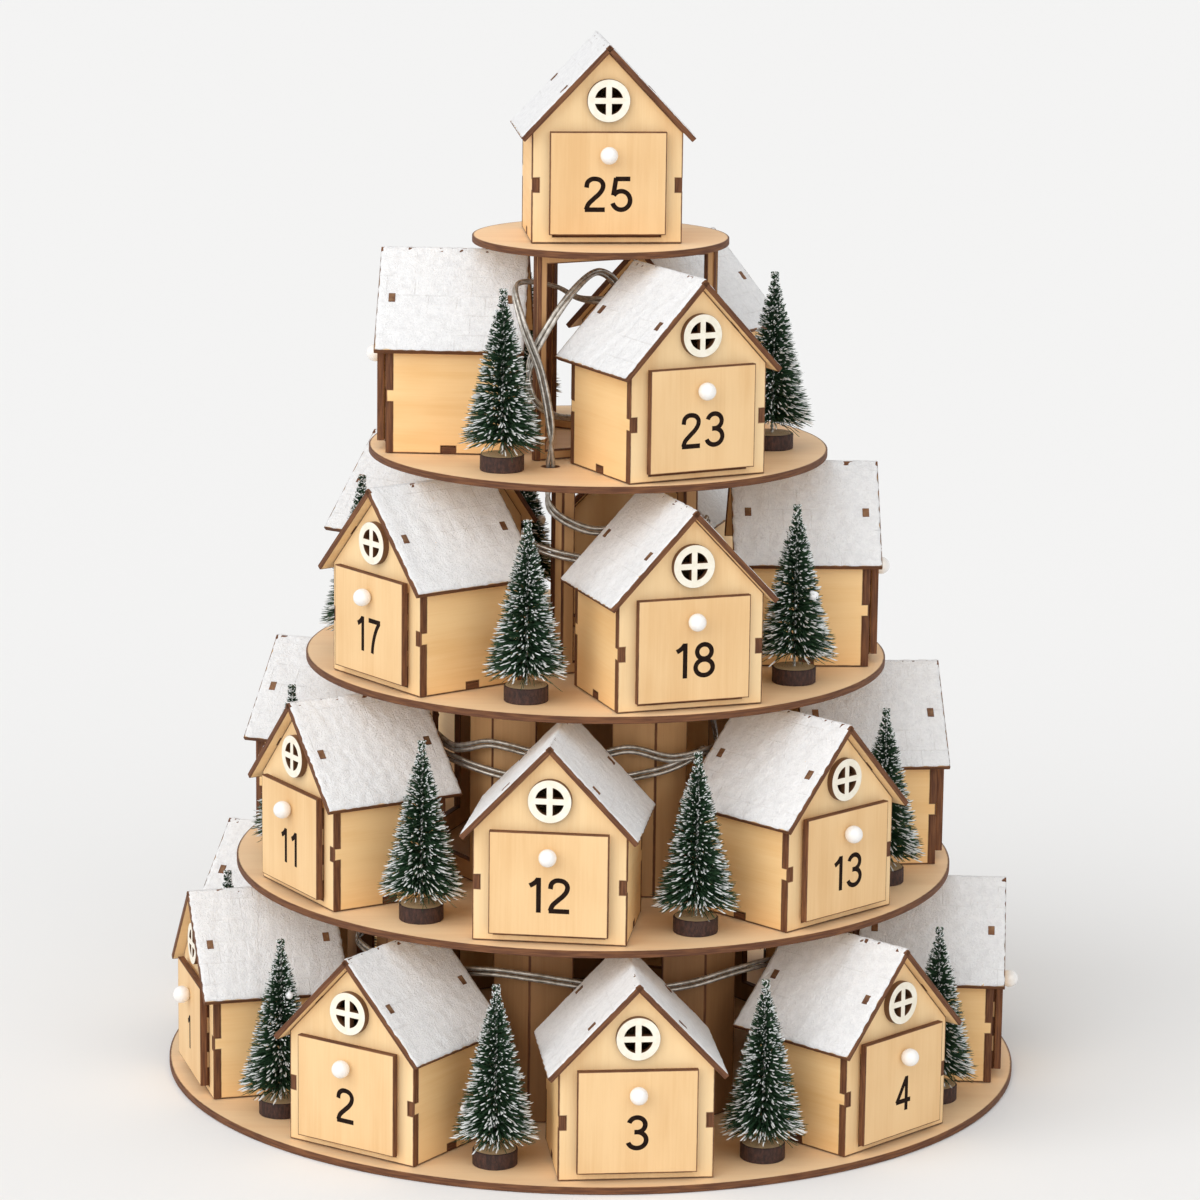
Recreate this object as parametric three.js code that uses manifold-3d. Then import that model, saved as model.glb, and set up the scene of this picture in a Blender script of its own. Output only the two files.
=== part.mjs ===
// Village advent calendar: a tower of five round plywood floors that carries 25 small houses.
// Each house holds one numbered drawer, bottle-brush trees stand between the houses, and a
// light string climbs the open core. Millimetres, +Z up, origin at the centre of the base
// disc's underside, front of the tower towards -Y.
import * as THREE from "three";
import { mergeVertices } from "three/addons/utils/BufferGeometryUtils.js";
import Module from "manifold-3d";

const wasm = await Module();
wasm.setup();

// Sheet thicknesses and clearances
const discSheet = 3.0;
const wallSheet = 3.0;
const roofSheet = 3.0;
const floorSheet = 3.0;
const coreSheet = 3.0;
const drawerSheet = 3.0;
const plateSheet = 3.0;
const ringSheet = 3.0;
const seatGap = 0.3;
const slideGap = 0.5;
const joinDepth = 0.5;

// Tower, from the base tier to the top one
const storeyPitch = 94.0;
const discRadii = [193, 162, 130.5, 102.5, 57];
const houseCounts = [9, 7, 5, 3, 1];
const firstHouseAngles = [-73.8, -109.7, -52.3, -92.4, 5.4];
const frontMargin = 10.0;
const discFacets = 48;

// House
const houseWidth = 66.0;
const houseDepth = 55.5;
const cornerHeight = 48.5;
const roofSlope = THREE.MathUtils.degToRad(46.5);
const eaveSpan = 38.7;
const frontOverhang = 4.9;
const backOverhang = 5.6;

// Round window
const windowHeight = 62.5;
const windowRadius = 9.35;
const glazedRadius = 6.1;
const glazingBar = 2.7;
const windowFacets = 12;
const peepholeRadius = 7.2;
const peepholeFacets = 8;

// Drawer
const boxWidth = 46.0;
const boxHeight = 40.0;
const boxBackGap = 2.5;
const boxLength = houseDepth - wallSheet - boxBackGap;
const plateWidth = 51.0;
const plateHeight = 45.0;
const plateLift = 4.1;
const plateStandOff = 1.4;
const knobRadius = 3.9;
const knobHeight = 39.2;
const knobCentreOut = 3.3;

// Core frame of each storey, set in behind the roofs of the houses
const coreSetIn = [16, 16, 16, 5];
const postWidths = [36, 36, 24, 24];
const railHeight = 12.0;

// Bottle-brush tree
const treeMargin = 25.0;
const sliceRadius = 9.65;
const sliceHeight = 7.0;
const stemRadius = 1.2;
const bareStem = 6.0;
const treeHeight = 80.0;
const brushRadius = 20.0;
const brushTipRadius = 1.5;
const treeFacets = 10;

// Light string and its battery case
const stringRadius = 1.0;
const stringLift = 66.0;
const stringSag = 3.0;
const stringBelowFloor = 18.0;
const stringAboveFloor = 16.0;
const stringClearance = 3.9;
const stringHoleRadius = 3.5;
const stringSteps = 80;
const stringFacets = 8;
const lampRadius = 2.4;
const caseLength = 66.0;
const caseWidth = 34.0;
const caseHeight = 16.0;

// Finishes
const plywood = new THREE.MeshStandardMaterial({ color: 0xe6bd83, roughness: 0.62, metalness: 0 });
const discPlywood = new THREE.MeshStandardMaterial({ color: 0xdfb47c, roughness: 0.6, metalness: 0 });
const darkPlywood = new THREE.MeshStandardMaterial({ color: 0x9a6233, roughness: 0.7, metalness: 0 });
const drawerPlywood = new THREE.MeshStandardMaterial({ color: 0xefc88f, roughness: 0.55, metalness: 0 });
const clearPlastic = new THREE.MeshStandardMaterial({ color: 0xb9bcbe, roughness: 0.25, metalness: 0.1 });

// The closed surface of a geometry as a solid that can be joined and cut.
function solidOf(geometry) {
  const bare = geometry.clone();
  bare.deleteAttribute("normal");
  bare.deleteAttribute("uv");
  const merged = mergeVertices(bare, 1e-4);
  return new wasm.Manifold(
    new wasm.Mesh({
      numProp: 3,
      vertProperties: new Float32Array(merged.attributes.position.array),
      triVerts: new Uint32Array(merged.index.array),
    }),
  );
}

// A solid turned back into a geometry.
function geometryOf(solid) {
  const mesh = solid.getMesh();
  const positions = new Float32Array(mesh.numVert * 3);
  for (let i = 0; i < mesh.numVert; i++) {
    positions.set(mesh.vertProperties.subarray(i * mesh.numProp, i * mesh.numProp + 3), i * 3);
  }
  const geometry = new THREE.BufferGeometry();
  geometry.setAttribute("position", new THREE.BufferAttribute(positions, 3));
  geometry.setIndex(new THREE.BufferAttribute(new Uint32Array(mesh.triVerts), 1));
  geometry.computeVertexNormals();
  return geometry;
}

// Joins a list of solids into one.
function joined(solids) {
  return solids.reduce((whole, next) => whole.add(next));
}

// A rectangular board between two corners.
function board(low, high) {
  const size = [0, 1, 2].map((i) => high[i] - low[i]);
  const centre = [0, 1, 2].map((i) => (high[i] + low[i]) / 2);
  return solidOf(new THREE.BoxGeometry(...size).translate(...centre));
}

// A flat outline in x and z, carried along y from one depth to another.
function panelAcross(outline, holes, fromY, toY) {
  const shape = new THREE.Shape(outline);
  shape.holes = holes.map((points) => new THREE.Path(points));
  const geometry = new THREE.ExtrudeGeometry(shape, { depth: toY - fromY, bevelEnabled: false });
  geometry.rotateX(Math.PI / 2);
  geometry.translate(0, toY, 0);
  return solidOf(geometry);
}

// An upright round bar between two heights.
function roundBar(radius, low, high, facets) {
  const geometry = new THREE.CylinderGeometry(radius, radius, high - low, facets);
  geometry.rotateX(Math.PI / 2);
  geometry.translate(0, 0, (low + high) / 2);
  return solidOf(geometry);
}

function points(pairs) {
  return pairs.map(([x, z]) => new THREE.Vector2(x, z));
}

// Angles are counted in degrees from the front, positive towards +X.
function onRing(radius, degrees, height) {
  const angle = THREE.MathUtils.degToRad(degrees);
  return new THREE.Vector3(radius * Math.sin(angle), -radius * Math.cos(angle), height);
}

const tierTops = discRadii.map((_, tier) => discSheet + tier * storeyPitch);
const houseAngle = (tier, place) => firstHouseAngles[tier] + (360 / houseCounts[tier]) * place;
const gapAngle = (tier, place) => houseAngle(tier, place) + 180 / houseCounts[tier];
const isTop = (tier) => tier === discRadii.length - 1;
const faceRadius = (tier) => (isTop(tier) ? houseDepth / 2 : discRadii[tier] - frontMargin);

// House shell: front and back gables, side walls, floor, two roof boards and the round window.
const wallHalf = houseWidth / 2;
const ridgeUnder = cornerHeight + wallHalf * Math.tan(roofSlope);
const ridgeTop = ridgeUnder + roofSheet / Math.cos(roofSlope);
const eaveTop = ridgeTop - eaveSpan * Math.tan(roofSlope);
const boxLift = floorSheet + seatGap;

function gableOutline() {
  return points([
    [-wallHalf, 0],
    [wallHalf, 0],
    [wallHalf, cornerHeight + joinDepth],
    [0, ridgeUnder + joinDepth],
    [-wallHalf, cornerHeight + joinDepth],
  ]);
}

function doorwayOutline() {
  const half = boxWidth / 2 + slideGap;
  const top = boxLift + boxHeight + slideGap;
  return points([
    [-half, floorSheet],
    [half, floorSheet],
    [half, top],
    [-half, top],
  ]);
}

// One of the four openings of the window: a corner at the bars and a quarter arc.
function paneOutline(sideX, sideZ) {
  const bar = glazingBar / 2;
  const start = Math.asin(bar / glazedRadius);
  const sweep = Math.PI / 2 - 2 * start;
  const arcSteps = 2;
  const outline = [[sideX * bar, windowHeight + sideZ * bar]];
  for (let i = 0; i <= arcSteps; i++) {
    const angle = start + (sweep * i) / arcSteps;
    outline.push([
      sideX * glazedRadius * Math.cos(angle),
      windowHeight + sideZ * glazedRadius * Math.sin(angle),
    ]);
  }
  return points(outline);
}

// A round outline about the window's centre.
function roundOutline(radius, facets) {
  const outline = [];
  for (let i = 0; i < facets; i++) {
    const angle = (2 * Math.PI * (i + 0.5)) / facets;
    outline.push([radius * Math.cos(angle), windowHeight + radius * Math.sin(angle)]);
  }
  return points(outline);
}

function makeHouse() {
  const panes = [
    paneOutline(1, 1),
    paneOutline(-1, 1),
    paneOutline(-1, -1),
    paneOutline(1, -1),
  ];
  const peephole = roundOutline(peepholeRadius, peepholeFacets);
  const front = panelAcross(gableOutline(), [doorwayOutline(), peephole], 0, wallSheet);
  const back = panelAcross(gableOutline(), [], houseDepth - wallSheet, houseDepth);
  const ring = roundOutline(windowRadius, windowFacets);
  const window = panelAcross(ring, panes, -ringSheet, 0);
  const wallTopIn = cornerHeight + wallSheet * Math.tan(roofSlope) + joinDepth;
  const sides = [-1, 1].map((side) =>
    panelAcross(
      points([
        [side * wallHalf, 0],
        [side * wallHalf, cornerHeight + joinDepth],
        [side * (wallHalf - wallSheet), wallTopIn],
        [side * (wallHalf - wallSheet), 0],
      ]),
      [],
      wallSheet - joinDepth,
      houseDepth - wallSheet + joinDepth,
    ),
  );
  const floor = board(
    [-wallHalf + joinDepth, wallSheet - joinDepth, 0],
    [wallHalf - joinDepth, houseDepth - wallSheet + joinDepth, floorSheet],
  );
  const roof = panelAcross(
    points([
      [0, ridgeTop],
      [-eaveSpan, eaveTop],
      [-eaveSpan + roofSheet * Math.sin(roofSlope), eaveTop - roofSheet * Math.cos(roofSlope)],
      [0, ridgeUnder],
      [eaveSpan - roofSheet * Math.sin(roofSlope), eaveTop - roofSheet * Math.cos(roofSlope)],
      [eaveSpan, eaveTop],
    ]),
    [],
    -frontOverhang,
    houseDepth + backOverhang,
  );
  return geometryOf(joined([front, back, ...sides, floor, roof, window]));
}

// Drawer: an open box, the numbered plate glued to its front, and a round knob.
function makeDrawer() {
  const half = boxWidth / 2;
  const front = -plateStandOff;
  const box = board(
    [-half, front - joinDepth, boxLift],
    [half, front + boxLength, boxLift + boxHeight],
  );
  const inside = board(
    [-half + drawerSheet, front + drawerSheet, boxLift + drawerSheet],
    [half - drawerSheet, front + boxLength - drawerSheet, boxLift + boxHeight + drawerSheet],
  );
  const plate = board(
    [-plateWidth / 2, front - plateSheet, plateLift],
    [plateWidth / 2, front, plateLift + plateHeight],
  );
  const knob = new THREE.SphereGeometry(knobRadius, 8, 6);
  knob.translate(0, front - plateSheet - knobCentreOut, knobHeight);
  return geometryOf(joined([box.subtract(inside), plate, solidOf(knob)]));
}

// Tree: a cut slice of branch, a bare stem and the brush.
function makeTree() {
  const slice = roundBar(sliceRadius, -joinDepth, sliceHeight, treeFacets);
  const brushLow = sliceHeight + bareStem;
  const stem = roundBar(stemRadius, sliceHeight - joinDepth, brushLow + joinDepth, 6);
  const brushLength = treeHeight - brushLow;
  // The brush swells just above its foot and narrows in a bow towards the tip.
  const profile = [
    [0, brushLow],
    [brushRadius * 0.8, brushLow],
    [brushRadius, brushLow + brushLength * 0.08],
    [brushRadius * 0.78, brushLow + brushLength * 0.32],
    [brushRadius * 0.45, brushLow + brushLength * 0.66],
    [brushTipRadius, treeHeight],
    [0, treeHeight],
  ];
  const brush = new THREE.LatheGeometry(points(profile), treeFacets);
  brush.rotateX(Math.PI / 2);
  return joined([slice, stem, solidOf(brush)]);
}

// Planes of the core frames, and where the light string passes each floor.
const roofBack = (tier) => faceRadius(tier) - houseDepth - backOverhang;
const coreOut = (tier) => roofBack(tier) - coreSetIn[tier];
const coreIn = (tier) => coreOut(tier) - coreSheet;
const coreCorner = (tier) => coreOut(tier) / Math.cos(Math.PI / houseCounts[tier]);
const stringRing = (tier) => roofBack(tier) - stringClearance;
const stringHoles = [
  null,
  { radius: (coreCorner(1) + coreIn(0)) / 2, angle: gapAngle(1, 0) },
  { radius: (coreCorner(2) + coreIn(1)) / 2, angle: gapAngle(2, 1) },
  { radius: stringRing(2) + 4, angle: gapAngle(2, 0) - 4 },
  null,
];

// Floor disc with its trees glued on, and a hole where the light string comes through.
function makeDisc(tier, tree) {
  const top = tierTops[tier];
  let disc = roundBar(discRadii[tier], top - discSheet, top, discFacets);
  if (stringHoles[tier]) {
    const hole = onRing(stringHoles[tier].radius, stringHoles[tier].angle, 0);
    const cutter = new THREE.CylinderGeometry(stringHoleRadius, stringHoleRadius, 3 * discSheet, 12);
    cutter.rotateX(Math.PI / 2);
    cutter.translate(hole.x, hole.y, top - discSheet / 2);
    disc = disc.subtract(solidOf(cutter));
  }
  if (isTop(tier)) {
    return geometryOf(disc);
  }
  const solids = [disc];
  for (let place = 0; place < houseCounts[tier]; place++) {
    const spot = onRing(discRadii[tier] - treeMargin, gapAngle(tier, place), top);
    const turned = geometryOf(tree).rotateZ(THREE.MathUtils.degToRad(gapAngle(tier, place)));
    turned.translate(spot.x, spot.y, spot.z);
    solids.push(solidOf(turned));
  }
  return geometryOf(joined(solids));
}

// Core frame of one storey: one upright board behind each house, joined edge to edge, with an
// opening in each board so that only the posts between the houses and the rails remain.
function makeCore(tier) {
  const low = tierTops[tier] + seatGap;
  const high = tierTops[tier] + storeyPitch - discSheet - seatGap;
  const halfTurn = Math.PI / houseCounts[tier];
  const corners = (plane) =>
    Array.from({ length: houseCounts[tier] }, (_, place) => {
      const corner = onRing(plane / Math.cos(halfTurn), gapAngle(tier, place), 0);
      return new THREE.Vector2(corner.x, corner.y);
    });
  const plan = new THREE.Shape(corners(coreOut(tier)));
  plan.holes = [new THREE.Path(corners(coreIn(tier)))];
  const tube = new THREE.ExtrudeGeometry(plan, { depth: high - low, bevelEnabled: false });
  tube.translate(0, 0, low);
  const openingWidth = 2 * coreIn(tier) * Math.tan(halfTurn) - postWidths[tier];
  let frame = solidOf(tube);
  for (let place = 0; place < houseCounts[tier]; place++) {
    const opening = new THREE.BoxGeometry(
      openingWidth,
      3 * coreSheet,
      high - low - 2 * railHeight,
    );
    opening.translate(0, coreSheet / 2 - coreOut(tier), (low + high) / 2);
    opening.rotateZ(THREE.MathUtils.degToRad(houseAngle(tier, place)));
    frame = frame.subtract(solidOf(opening));
  }
  return geometryOf(frame);
}

// Route of the light string: out of the battery case, round each core frame behind the houses
// and up through the hole in each floor, to its last lamp under the top disc.
function stringRoute() {
  const route = [];
  const at = (tier, radius, angle, lift) =>
    route.push(onRing(radius, angle, tierTops[tier] + lift));
  const sweep = (tier, from, to) => {
    const count = Math.round(Math.abs(to - from) / 14);
    for (let i = 0; i <= count; i++) {
      const share = i / count;
      const sag = stringSag * Math.sin(share * Math.PI * 6);
      at(tier, stringRing(tier), from + (to - from) * share, stringLift + sag);
    }
  };
  const through = (tier) => {
    const { radius, angle } = stringHoles[tier];
    at(tier, radius, angle, -stringBelowFloor);
    at(tier, radius, angle, -discSheet / 2);
    at(tier, radius, angle, stringAboveFloor);
  };
  at(0, 0, 0, seatGap + caseHeight - joinDepth);
  at(0, 0, 0, 30);
  at(0, 40, houseAngle(0, 5), 44);
  at(0, coreIn(0) - 10, houseAngle(0, 5), 46);
  at(0, stringRing(0) - 6, houseAngle(0, 5) - 2, 50);
  sweep(0, houseAngle(0, 5) - 12, houseAngle(0, 0) + 12);
  at(0, coreIn(0) + 2, houseAngle(0, 0), stringLift);
  through(1);
  at(1, stringRing(1) + 3, gapAngle(1, 0) + 3, 44);
  sweep(1, gapAngle(1, 0) + 12, houseAngle(1, 3) - 8);
  at(1, coreIn(1) + 2, houseAngle(1, 3) + 2, stringLift);
  through(2);
  at(2, stringRing(2) + 2, gapAngle(2, 1) - 3, 44);
  sweep(2, gapAngle(2, 1) - 14, gapAngle(2, 0) + 12);
  through(3);
  at(3, coreCorner(3) + 4, gapAngle(3, 0) + 6, 40);
  at(3, coreCorner(3) + 4, gapAngle(3, 0) - 4, 62);
  at(3, coreCorner(3) - 4, gapAngle(3, 0) - 16, 76);
  return route;
}

function makeString() {
  const route = stringRoute();
  const section = new THREE.Shape(
    Array.from({ length: stringFacets }, (_, i) => {
      const angle = (2 * Math.PI * i) / stringFacets;
      return new THREE.Vector2(stringRadius * Math.cos(angle), stringRadius * Math.sin(angle));
    }),
  );
  const tube = new THREE.ExtrudeGeometry(section, {
    steps: stringSteps,
    bevelEnabled: false,
    extrudePath: new THREE.CatmullRomCurve3(route),
  });
  const caseLow = tierTops[0] + seatGap;
  const batteryCase = board(
    [-caseLength / 2, -caseWidth / 2, caseLow],
    [caseLength / 2, caseWidth / 2, caseLow + caseHeight],
  );
  const lamp = new THREE.SphereGeometry(lampRadius, 8, 6).translate(...route.at(-1).toArray());
  return geometryOf(joined([batteryCase, solidOf(tube), solidOf(lamp)]));
}

const root = new THREE.Group();
root.name = "village_advent_calendar";

function place(name, geometry, material, parent = root) {
  const mesh = new THREE.Mesh(geometry, material);
  mesh.name = name;
  parent.add(mesh);
  return mesh;
}

const tree = makeTree();
const houseGeometry = makeHouse();
const drawerGeometry = makeDrawer();
place("light_string", makeString(), clearPlastic);
let number = 0;
for (let tier = 0; tier < discRadii.length; tier++) {
  place(`tier_${tier + 1}_disc`, makeDisc(tier, tree), discPlywood);
  if (!isTop(tier)) {
    place(`core_frame_${tier + 1}`, makeCore(tier), darkPlywood);
  }
  for (let spot = 0; spot < houseCounts[tier]; spot++) {
    number += 1;
    const label = String(number).padStart(2, "0");
    const group = new THREE.Group();
    group.position.copy(
      onRing(faceRadius(tier), houseAngle(tier, spot), tierTops[tier] + seatGap),
    );
    group.rotation.z = THREE.MathUtils.degToRad(houseAngle(tier, spot));
    root.add(group);
    place(`house_${label}`, houseGeometry, plywood, group);
    place(`drawer_${label}`, drawerGeometry, drawerPlywood, group);
  }
}

export default root;
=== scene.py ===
"""Dresses the village advent calendar: plywood floors, 25 numbered houses, trees and lights.

Sizes are millimetres while a surface is worked out, and metres in the finished meshes.
A house is worked out in its own axes: x to the right, y inwards from its front wall, z up.
"""

from __future__ import annotations

import logging
import math
from collections.abc import Callable
from dataclasses import dataclass, field, replace
from enum import Enum

import bpy
import numpy as np
from mathutils import Matrix
from mathutils.geometry import tessellate_polygon

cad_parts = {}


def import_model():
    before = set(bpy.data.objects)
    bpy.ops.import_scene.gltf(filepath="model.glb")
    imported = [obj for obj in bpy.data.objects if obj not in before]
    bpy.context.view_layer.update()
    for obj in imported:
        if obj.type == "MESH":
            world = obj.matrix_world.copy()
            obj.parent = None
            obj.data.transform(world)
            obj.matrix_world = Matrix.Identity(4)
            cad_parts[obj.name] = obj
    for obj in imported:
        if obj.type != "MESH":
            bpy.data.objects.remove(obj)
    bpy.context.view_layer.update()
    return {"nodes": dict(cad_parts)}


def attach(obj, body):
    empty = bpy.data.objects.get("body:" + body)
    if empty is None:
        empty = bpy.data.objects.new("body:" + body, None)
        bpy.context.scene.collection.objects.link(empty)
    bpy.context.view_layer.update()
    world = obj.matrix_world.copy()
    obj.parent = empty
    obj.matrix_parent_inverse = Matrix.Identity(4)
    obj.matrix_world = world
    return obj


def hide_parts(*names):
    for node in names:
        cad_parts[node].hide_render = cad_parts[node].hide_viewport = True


LOG = logging.getLogger("advent_calendar")
MM = 0.001
Array = np.ndarray
Colour = tuple[float, float, float]
Finish = bpy.types.Material
Axes = tuple[tuple[float, float, float], tuple[float, float, float]]

# How a board lies: the directions of its first and second axis.
FORWARDS: Axes = ((1, 0, 0), (0, 0, 1))
BACKWARDS: Axes = ((-1, 0, 0), (0, 0, 1))
RIGHTWARDS: Axes = ((0, 1, 0), (0, 0, 1))
LEFTWARDS: Axes = ((0, -1, 0), (0, 0, 1))
LEVEL: Axes = ((1, 0, 0), (0, 1, 0))


class Slot(Enum):
    """Names of material slots, one for each kind of piece."""

    FLOOR = "floor_ply"
    CORE = "core_ply"
    HOUSE = "house_ply"
    DRAWER = "drawer_ply"
    SNOW = "snow_roof"
    WINDOW = "window_white"
    KNOB = "knob_white"
    NUMBER = "number_dark"
    BRISTLE = "tree_bristle"
    STEM = "tree_stem"
    SLICE = "branch_slice"
    STRING = "clear_string"
    CASE = "battery_case"


@dataclass
class Surface:
    """A mesh in the making.

    points are in millimetres, corners and sizes list the faces' corners one face after
    another, char is how burnt each point is, and grain is each point's place on its board.
    """

    points: Array
    corners: Array
    sizes: Array
    char: Array
    grain: Array

    @staticmethod
    def of(
        points: Array, faces: list[Array], char: Array | float, grain: Array | None = None
    ) -> Surface:
        """Makes a surface from points and blocks of faces.

        Args:
            points: one row for each point.
            faces: arrays of corner numbers, one row for each face.
            char: burn of each point, or one value for all.
            grain: place of each point on its board, or None for the points themselves.
        Returns:
            The surface.
        """
        corners = np.concatenate([block.ravel() for block in faces])
        sizes = np.concatenate([np.full(len(block), block.shape[1]) for block in faces])
        burn = np.full(len(points), char) if np.isscalar(char) else np.asarray(char)
        return Surface(points, corners, sizes, burn, points.copy() if grain is None else grain)

    @staticmethod
    def joined(parts: list[Surface]) -> Surface:
        """Puts several surfaces into one, with the faces' corners renumbered."""
        starts = np.cumsum([0] + [len(part.points) for part in parts[:-1]])
        corners = np.concatenate([part.corners + start for part, start in zip(parts, starts)])
        rest = {
            name: np.concatenate([getattr(part, name) for part in parts])
            for name in ("points", "sizes", "char", "grain")
        }
        return Surface(corners=corners, **rest)

    def placed(self, origin: tuple, across: tuple, upward: tuple) -> Surface:
        """Lays a flat board into the space of its house or floor.

        Args:
            origin: where the board's own zero goes.
            across: direction of the board's first axis.
            upward: direction of its second axis; the third is their cross product.
        Returns:
            The surface with its points moved.
        """
        u, v = np.array(across, float), np.array(upward, float)
        axes = np.stack([u, v, np.cross(u, v)])
        return replace(self, points=self.points @ axes + np.array(origin, float))

    def turned(self, spot: Spot) -> Surface:
        """Moves a surface from a house's own axes to its spot on the tower."""
        return replace(self, points=spot.world(self.points))


@dataclass(frozen=True)
class Spot:
    """A place on the tower: degrees from the front, distance from the axis and height."""

    angle: float
    radius: float
    height: float

    def world(self, points: Array) -> Array:
        """Turns points about the tower's axis and moves them out and up."""
        turn = math.radians(self.angle)
        right = np.array([math.cos(turn), math.sin(turn), 0.0])
        inward = np.array([-math.sin(turn), math.cos(turn), 0.0])
        centre = -inward * self.radius + np.array([0.0, 0.0, self.height])
        return points[:, :1] * right + points[:, 1:2] * inward + points[:, 2:] * [0, 0, 1] + centre


def inset(loop: Array, distance: float) -> Array:
    """Moves a closed loop sideways, to the left of its direction.

    Each corner moves along the bisector of its two sides, by the distance over the
    cosine of half the turn, so that every side shifts by the same distance.

    Args:
        loop: corners in order.
        distance: how far each side moves.
    Returns:
        The moved corners.
    """
    ahead = np.roll(loop, -1, axis=0) - loop
    ahead /= np.linalg.norm(ahead, axis=1)[:, None]
    left = np.stack([-ahead[:, 1], ahead[:, 0]], axis=1)
    before = np.roll(left, 1, axis=0)
    spread = 1.0 + np.sum(left * before, axis=1)
    return loop + distance * (left + before) / np.maximum(spread, 0.35)[:, None]


def oriented(loop: Array, outer: bool) -> Array:
    """Orders a loop so that the board lies on its left: outlines turn left, holes right."""
    x, y = loop[:, 0], loop[:, 1]
    area = np.sum(x * np.roll(y, -1) - y * np.roll(x, -1))
    return loop if (area > 0) == outer else loop[::-1]


def bands(here: Array, ahead: Array, count: int, rings: int) -> Array:
    """Four-cornered faces between rings of points that follow one another.

    Args:
        here: numbers of the first ring's points.
        ahead: numbers of their next neighbours in the ring.
        count: points in a ring.
        rings: how many there are.
    Returns:
        One row of corners for each face.
    """
    strip = np.column_stack([here, ahead, ahead + count, here + count])
    return np.concatenate([strip + ring * count for ring in range(rings - 1)])


def grid_faces(index: Array) -> Array:
    """Four-cornered faces of a grid of point numbers."""
    corners = [index[:-1, :-1], index[1:, :-1], index[1:, 1:], index[:-1, 1:]]
    return np.stack(corners, axis=-1).reshape(-1, 4)


def mirrored(half: list[tuple[float, float]], middle: float = 0.0) -> Array:
    """An outline that goes on backwards as its own mirror image about a middle."""
    return np.array(half + [(2 * middle - x, y) for x, y in reversed(half)])


def cut_board(
    outline: Array,
    holes: list[Array],
    thickness: float,
    rng: np.random.Generator,
    edge: float = 0.18,
    halo: float = 0.7,
    upright: bool = True,
) -> Surface:
    """A board cut from sheet by a burning beam: softened brown edges round pale faces.

    Each loop is repeated at six levels: the back face's rim, its edge, the two ends of the
    cut wall, the front face's edge and its rim. Strips join the levels, and the two faces
    are filled with triangles.

    Args:
        outline: corners of the outside, in any order of turning.
        holes: corners of each hole.
        thickness: of the sheet.
        rng: gives the board its own stretch of grain.
        edge: width of the softened edge.
        halo: width of the scorched rim on the faces.
        upright: whether the grain runs along the second axis.
    Returns:
        The closed board, its back on zero.
    """
    loops = [oriented(np.asarray(outline, float), True)]
    loops += [oriented(np.asarray(hole, float), False) for hole in holes]
    levels = [
        (0.0, edge + halo, 0.0),
        (0.0, edge, 0.7),
        (edge, 0.0, 1.0),
        (thickness - edge, 0.0, 1.0),
        (thickness, edge, 0.7),
        (thickness, edge + halo, 0.0),
    ]
    flat = [np.concatenate([inset(loop, level[1]) for loop in loops]) for level in levels]
    count = len(flat[0])
    points = np.concatenate(
        [np.column_stack([ring, np.full(count, level[0])]) for ring, level in zip(flat, levels)]
    )
    char = np.repeat([level[2] for level in levels], count)
    here = np.arange(count)
    shares = np.split(here, np.cumsum([len(loop) for loop in loops])[:-1])
    ahead = np.concatenate([np.roll(share, -1) for share in shares])
    top = flat[-1]
    sections = [[(x, y, 0.0) for x, y in top[share]] for share in shares]
    fill = np.array(tessellate_polygon(sections))
    a, b, c = top[fill[:, 0]], top[fill[:, 1]], top[fill[:, 2]]
    turn = (b[:, 0] - a[:, 0]) * (c[:, 1] - a[:, 1]) - (b[:, 1] - a[:, 1]) * (c[:, 0] - a[:, 0])
    fill[turn < 0] = fill[turn < 0][:, ::-1]
    walls = bands(here, ahead, count, len(levels))
    faces = [walls, fill + (len(levels) - 1) * count, fill[:, ::-1]]
    grain = points if upright else points[:, [1, 0, 2]]
    return Surface.of(points, faces, char, grain + rng.uniform(-400, 400, 3))


def rectangle(left: float, low: float, right: float, high: float) -> Array:
    """Corners of an upright rectangle."""
    return np.array([(left, low), (right, low), (right, high), (left, high)], float)


def arc(radius: float, start: float, stop: float, steps: int) -> Array:
    """Points of a circular arc about zero, angles in radians, both ends included."""
    angle = np.linspace(start, stop, steps + 1)
    return np.column_stack([radius * np.cos(angle), radius * np.sin(angle)])


def circle(radius: float, steps: int, centre: tuple[float, float] = (0.0, 0.0)) -> Array:
    """Points round a circle."""
    return arc(radius, 0.0, 2 * math.pi, steps)[:-1] + np.array(centre)


def comb(length: float, count: int, high: float, low: float, starts_high: bool) -> Array:
    """The fingers of a jointed edge: a square wave between two heights.

    Args:
        length: of the edge.
        count: of fingers and gaps together.
        high: height of a finger's end.
        low: height of a gap's floor.
        starts_high: whether the first of them is a finger.
    Returns:
        Points from zero to the length.
    """
    step = length / count
    points = []
    for i in range(count):
        level = high if (i % 2 == 0) == starts_high else low
        points += [(i * step, level), ((i + 1) * step, level)]
    return np.array(points)


def capped(body: Array, ends: Array, sides: int, burn: Array | float) -> Surface:
    """Rings of points joined one to the next, with both ends closed to a point.

    Args:
        body: points of all rings, one ring after another.
        ends: the two end points.
        sides: points in a ring.
        burn: of each point, or one value.
    Returns:
        The closed surface.
    """
    here = np.arange(sides)
    ahead = np.roll(here, -1)
    quads = bands(here, ahead, sides, len(body) // sides)
    last = len(body) - sides
    low = np.column_stack([ahead, here, np.full(sides, len(body))])
    high = np.column_stack([here + last, ahead + last, np.full(sides, len(body) + 1)])
    return Surface.of(np.concatenate([body, ends]), [quads, low, high], burn)


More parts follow.
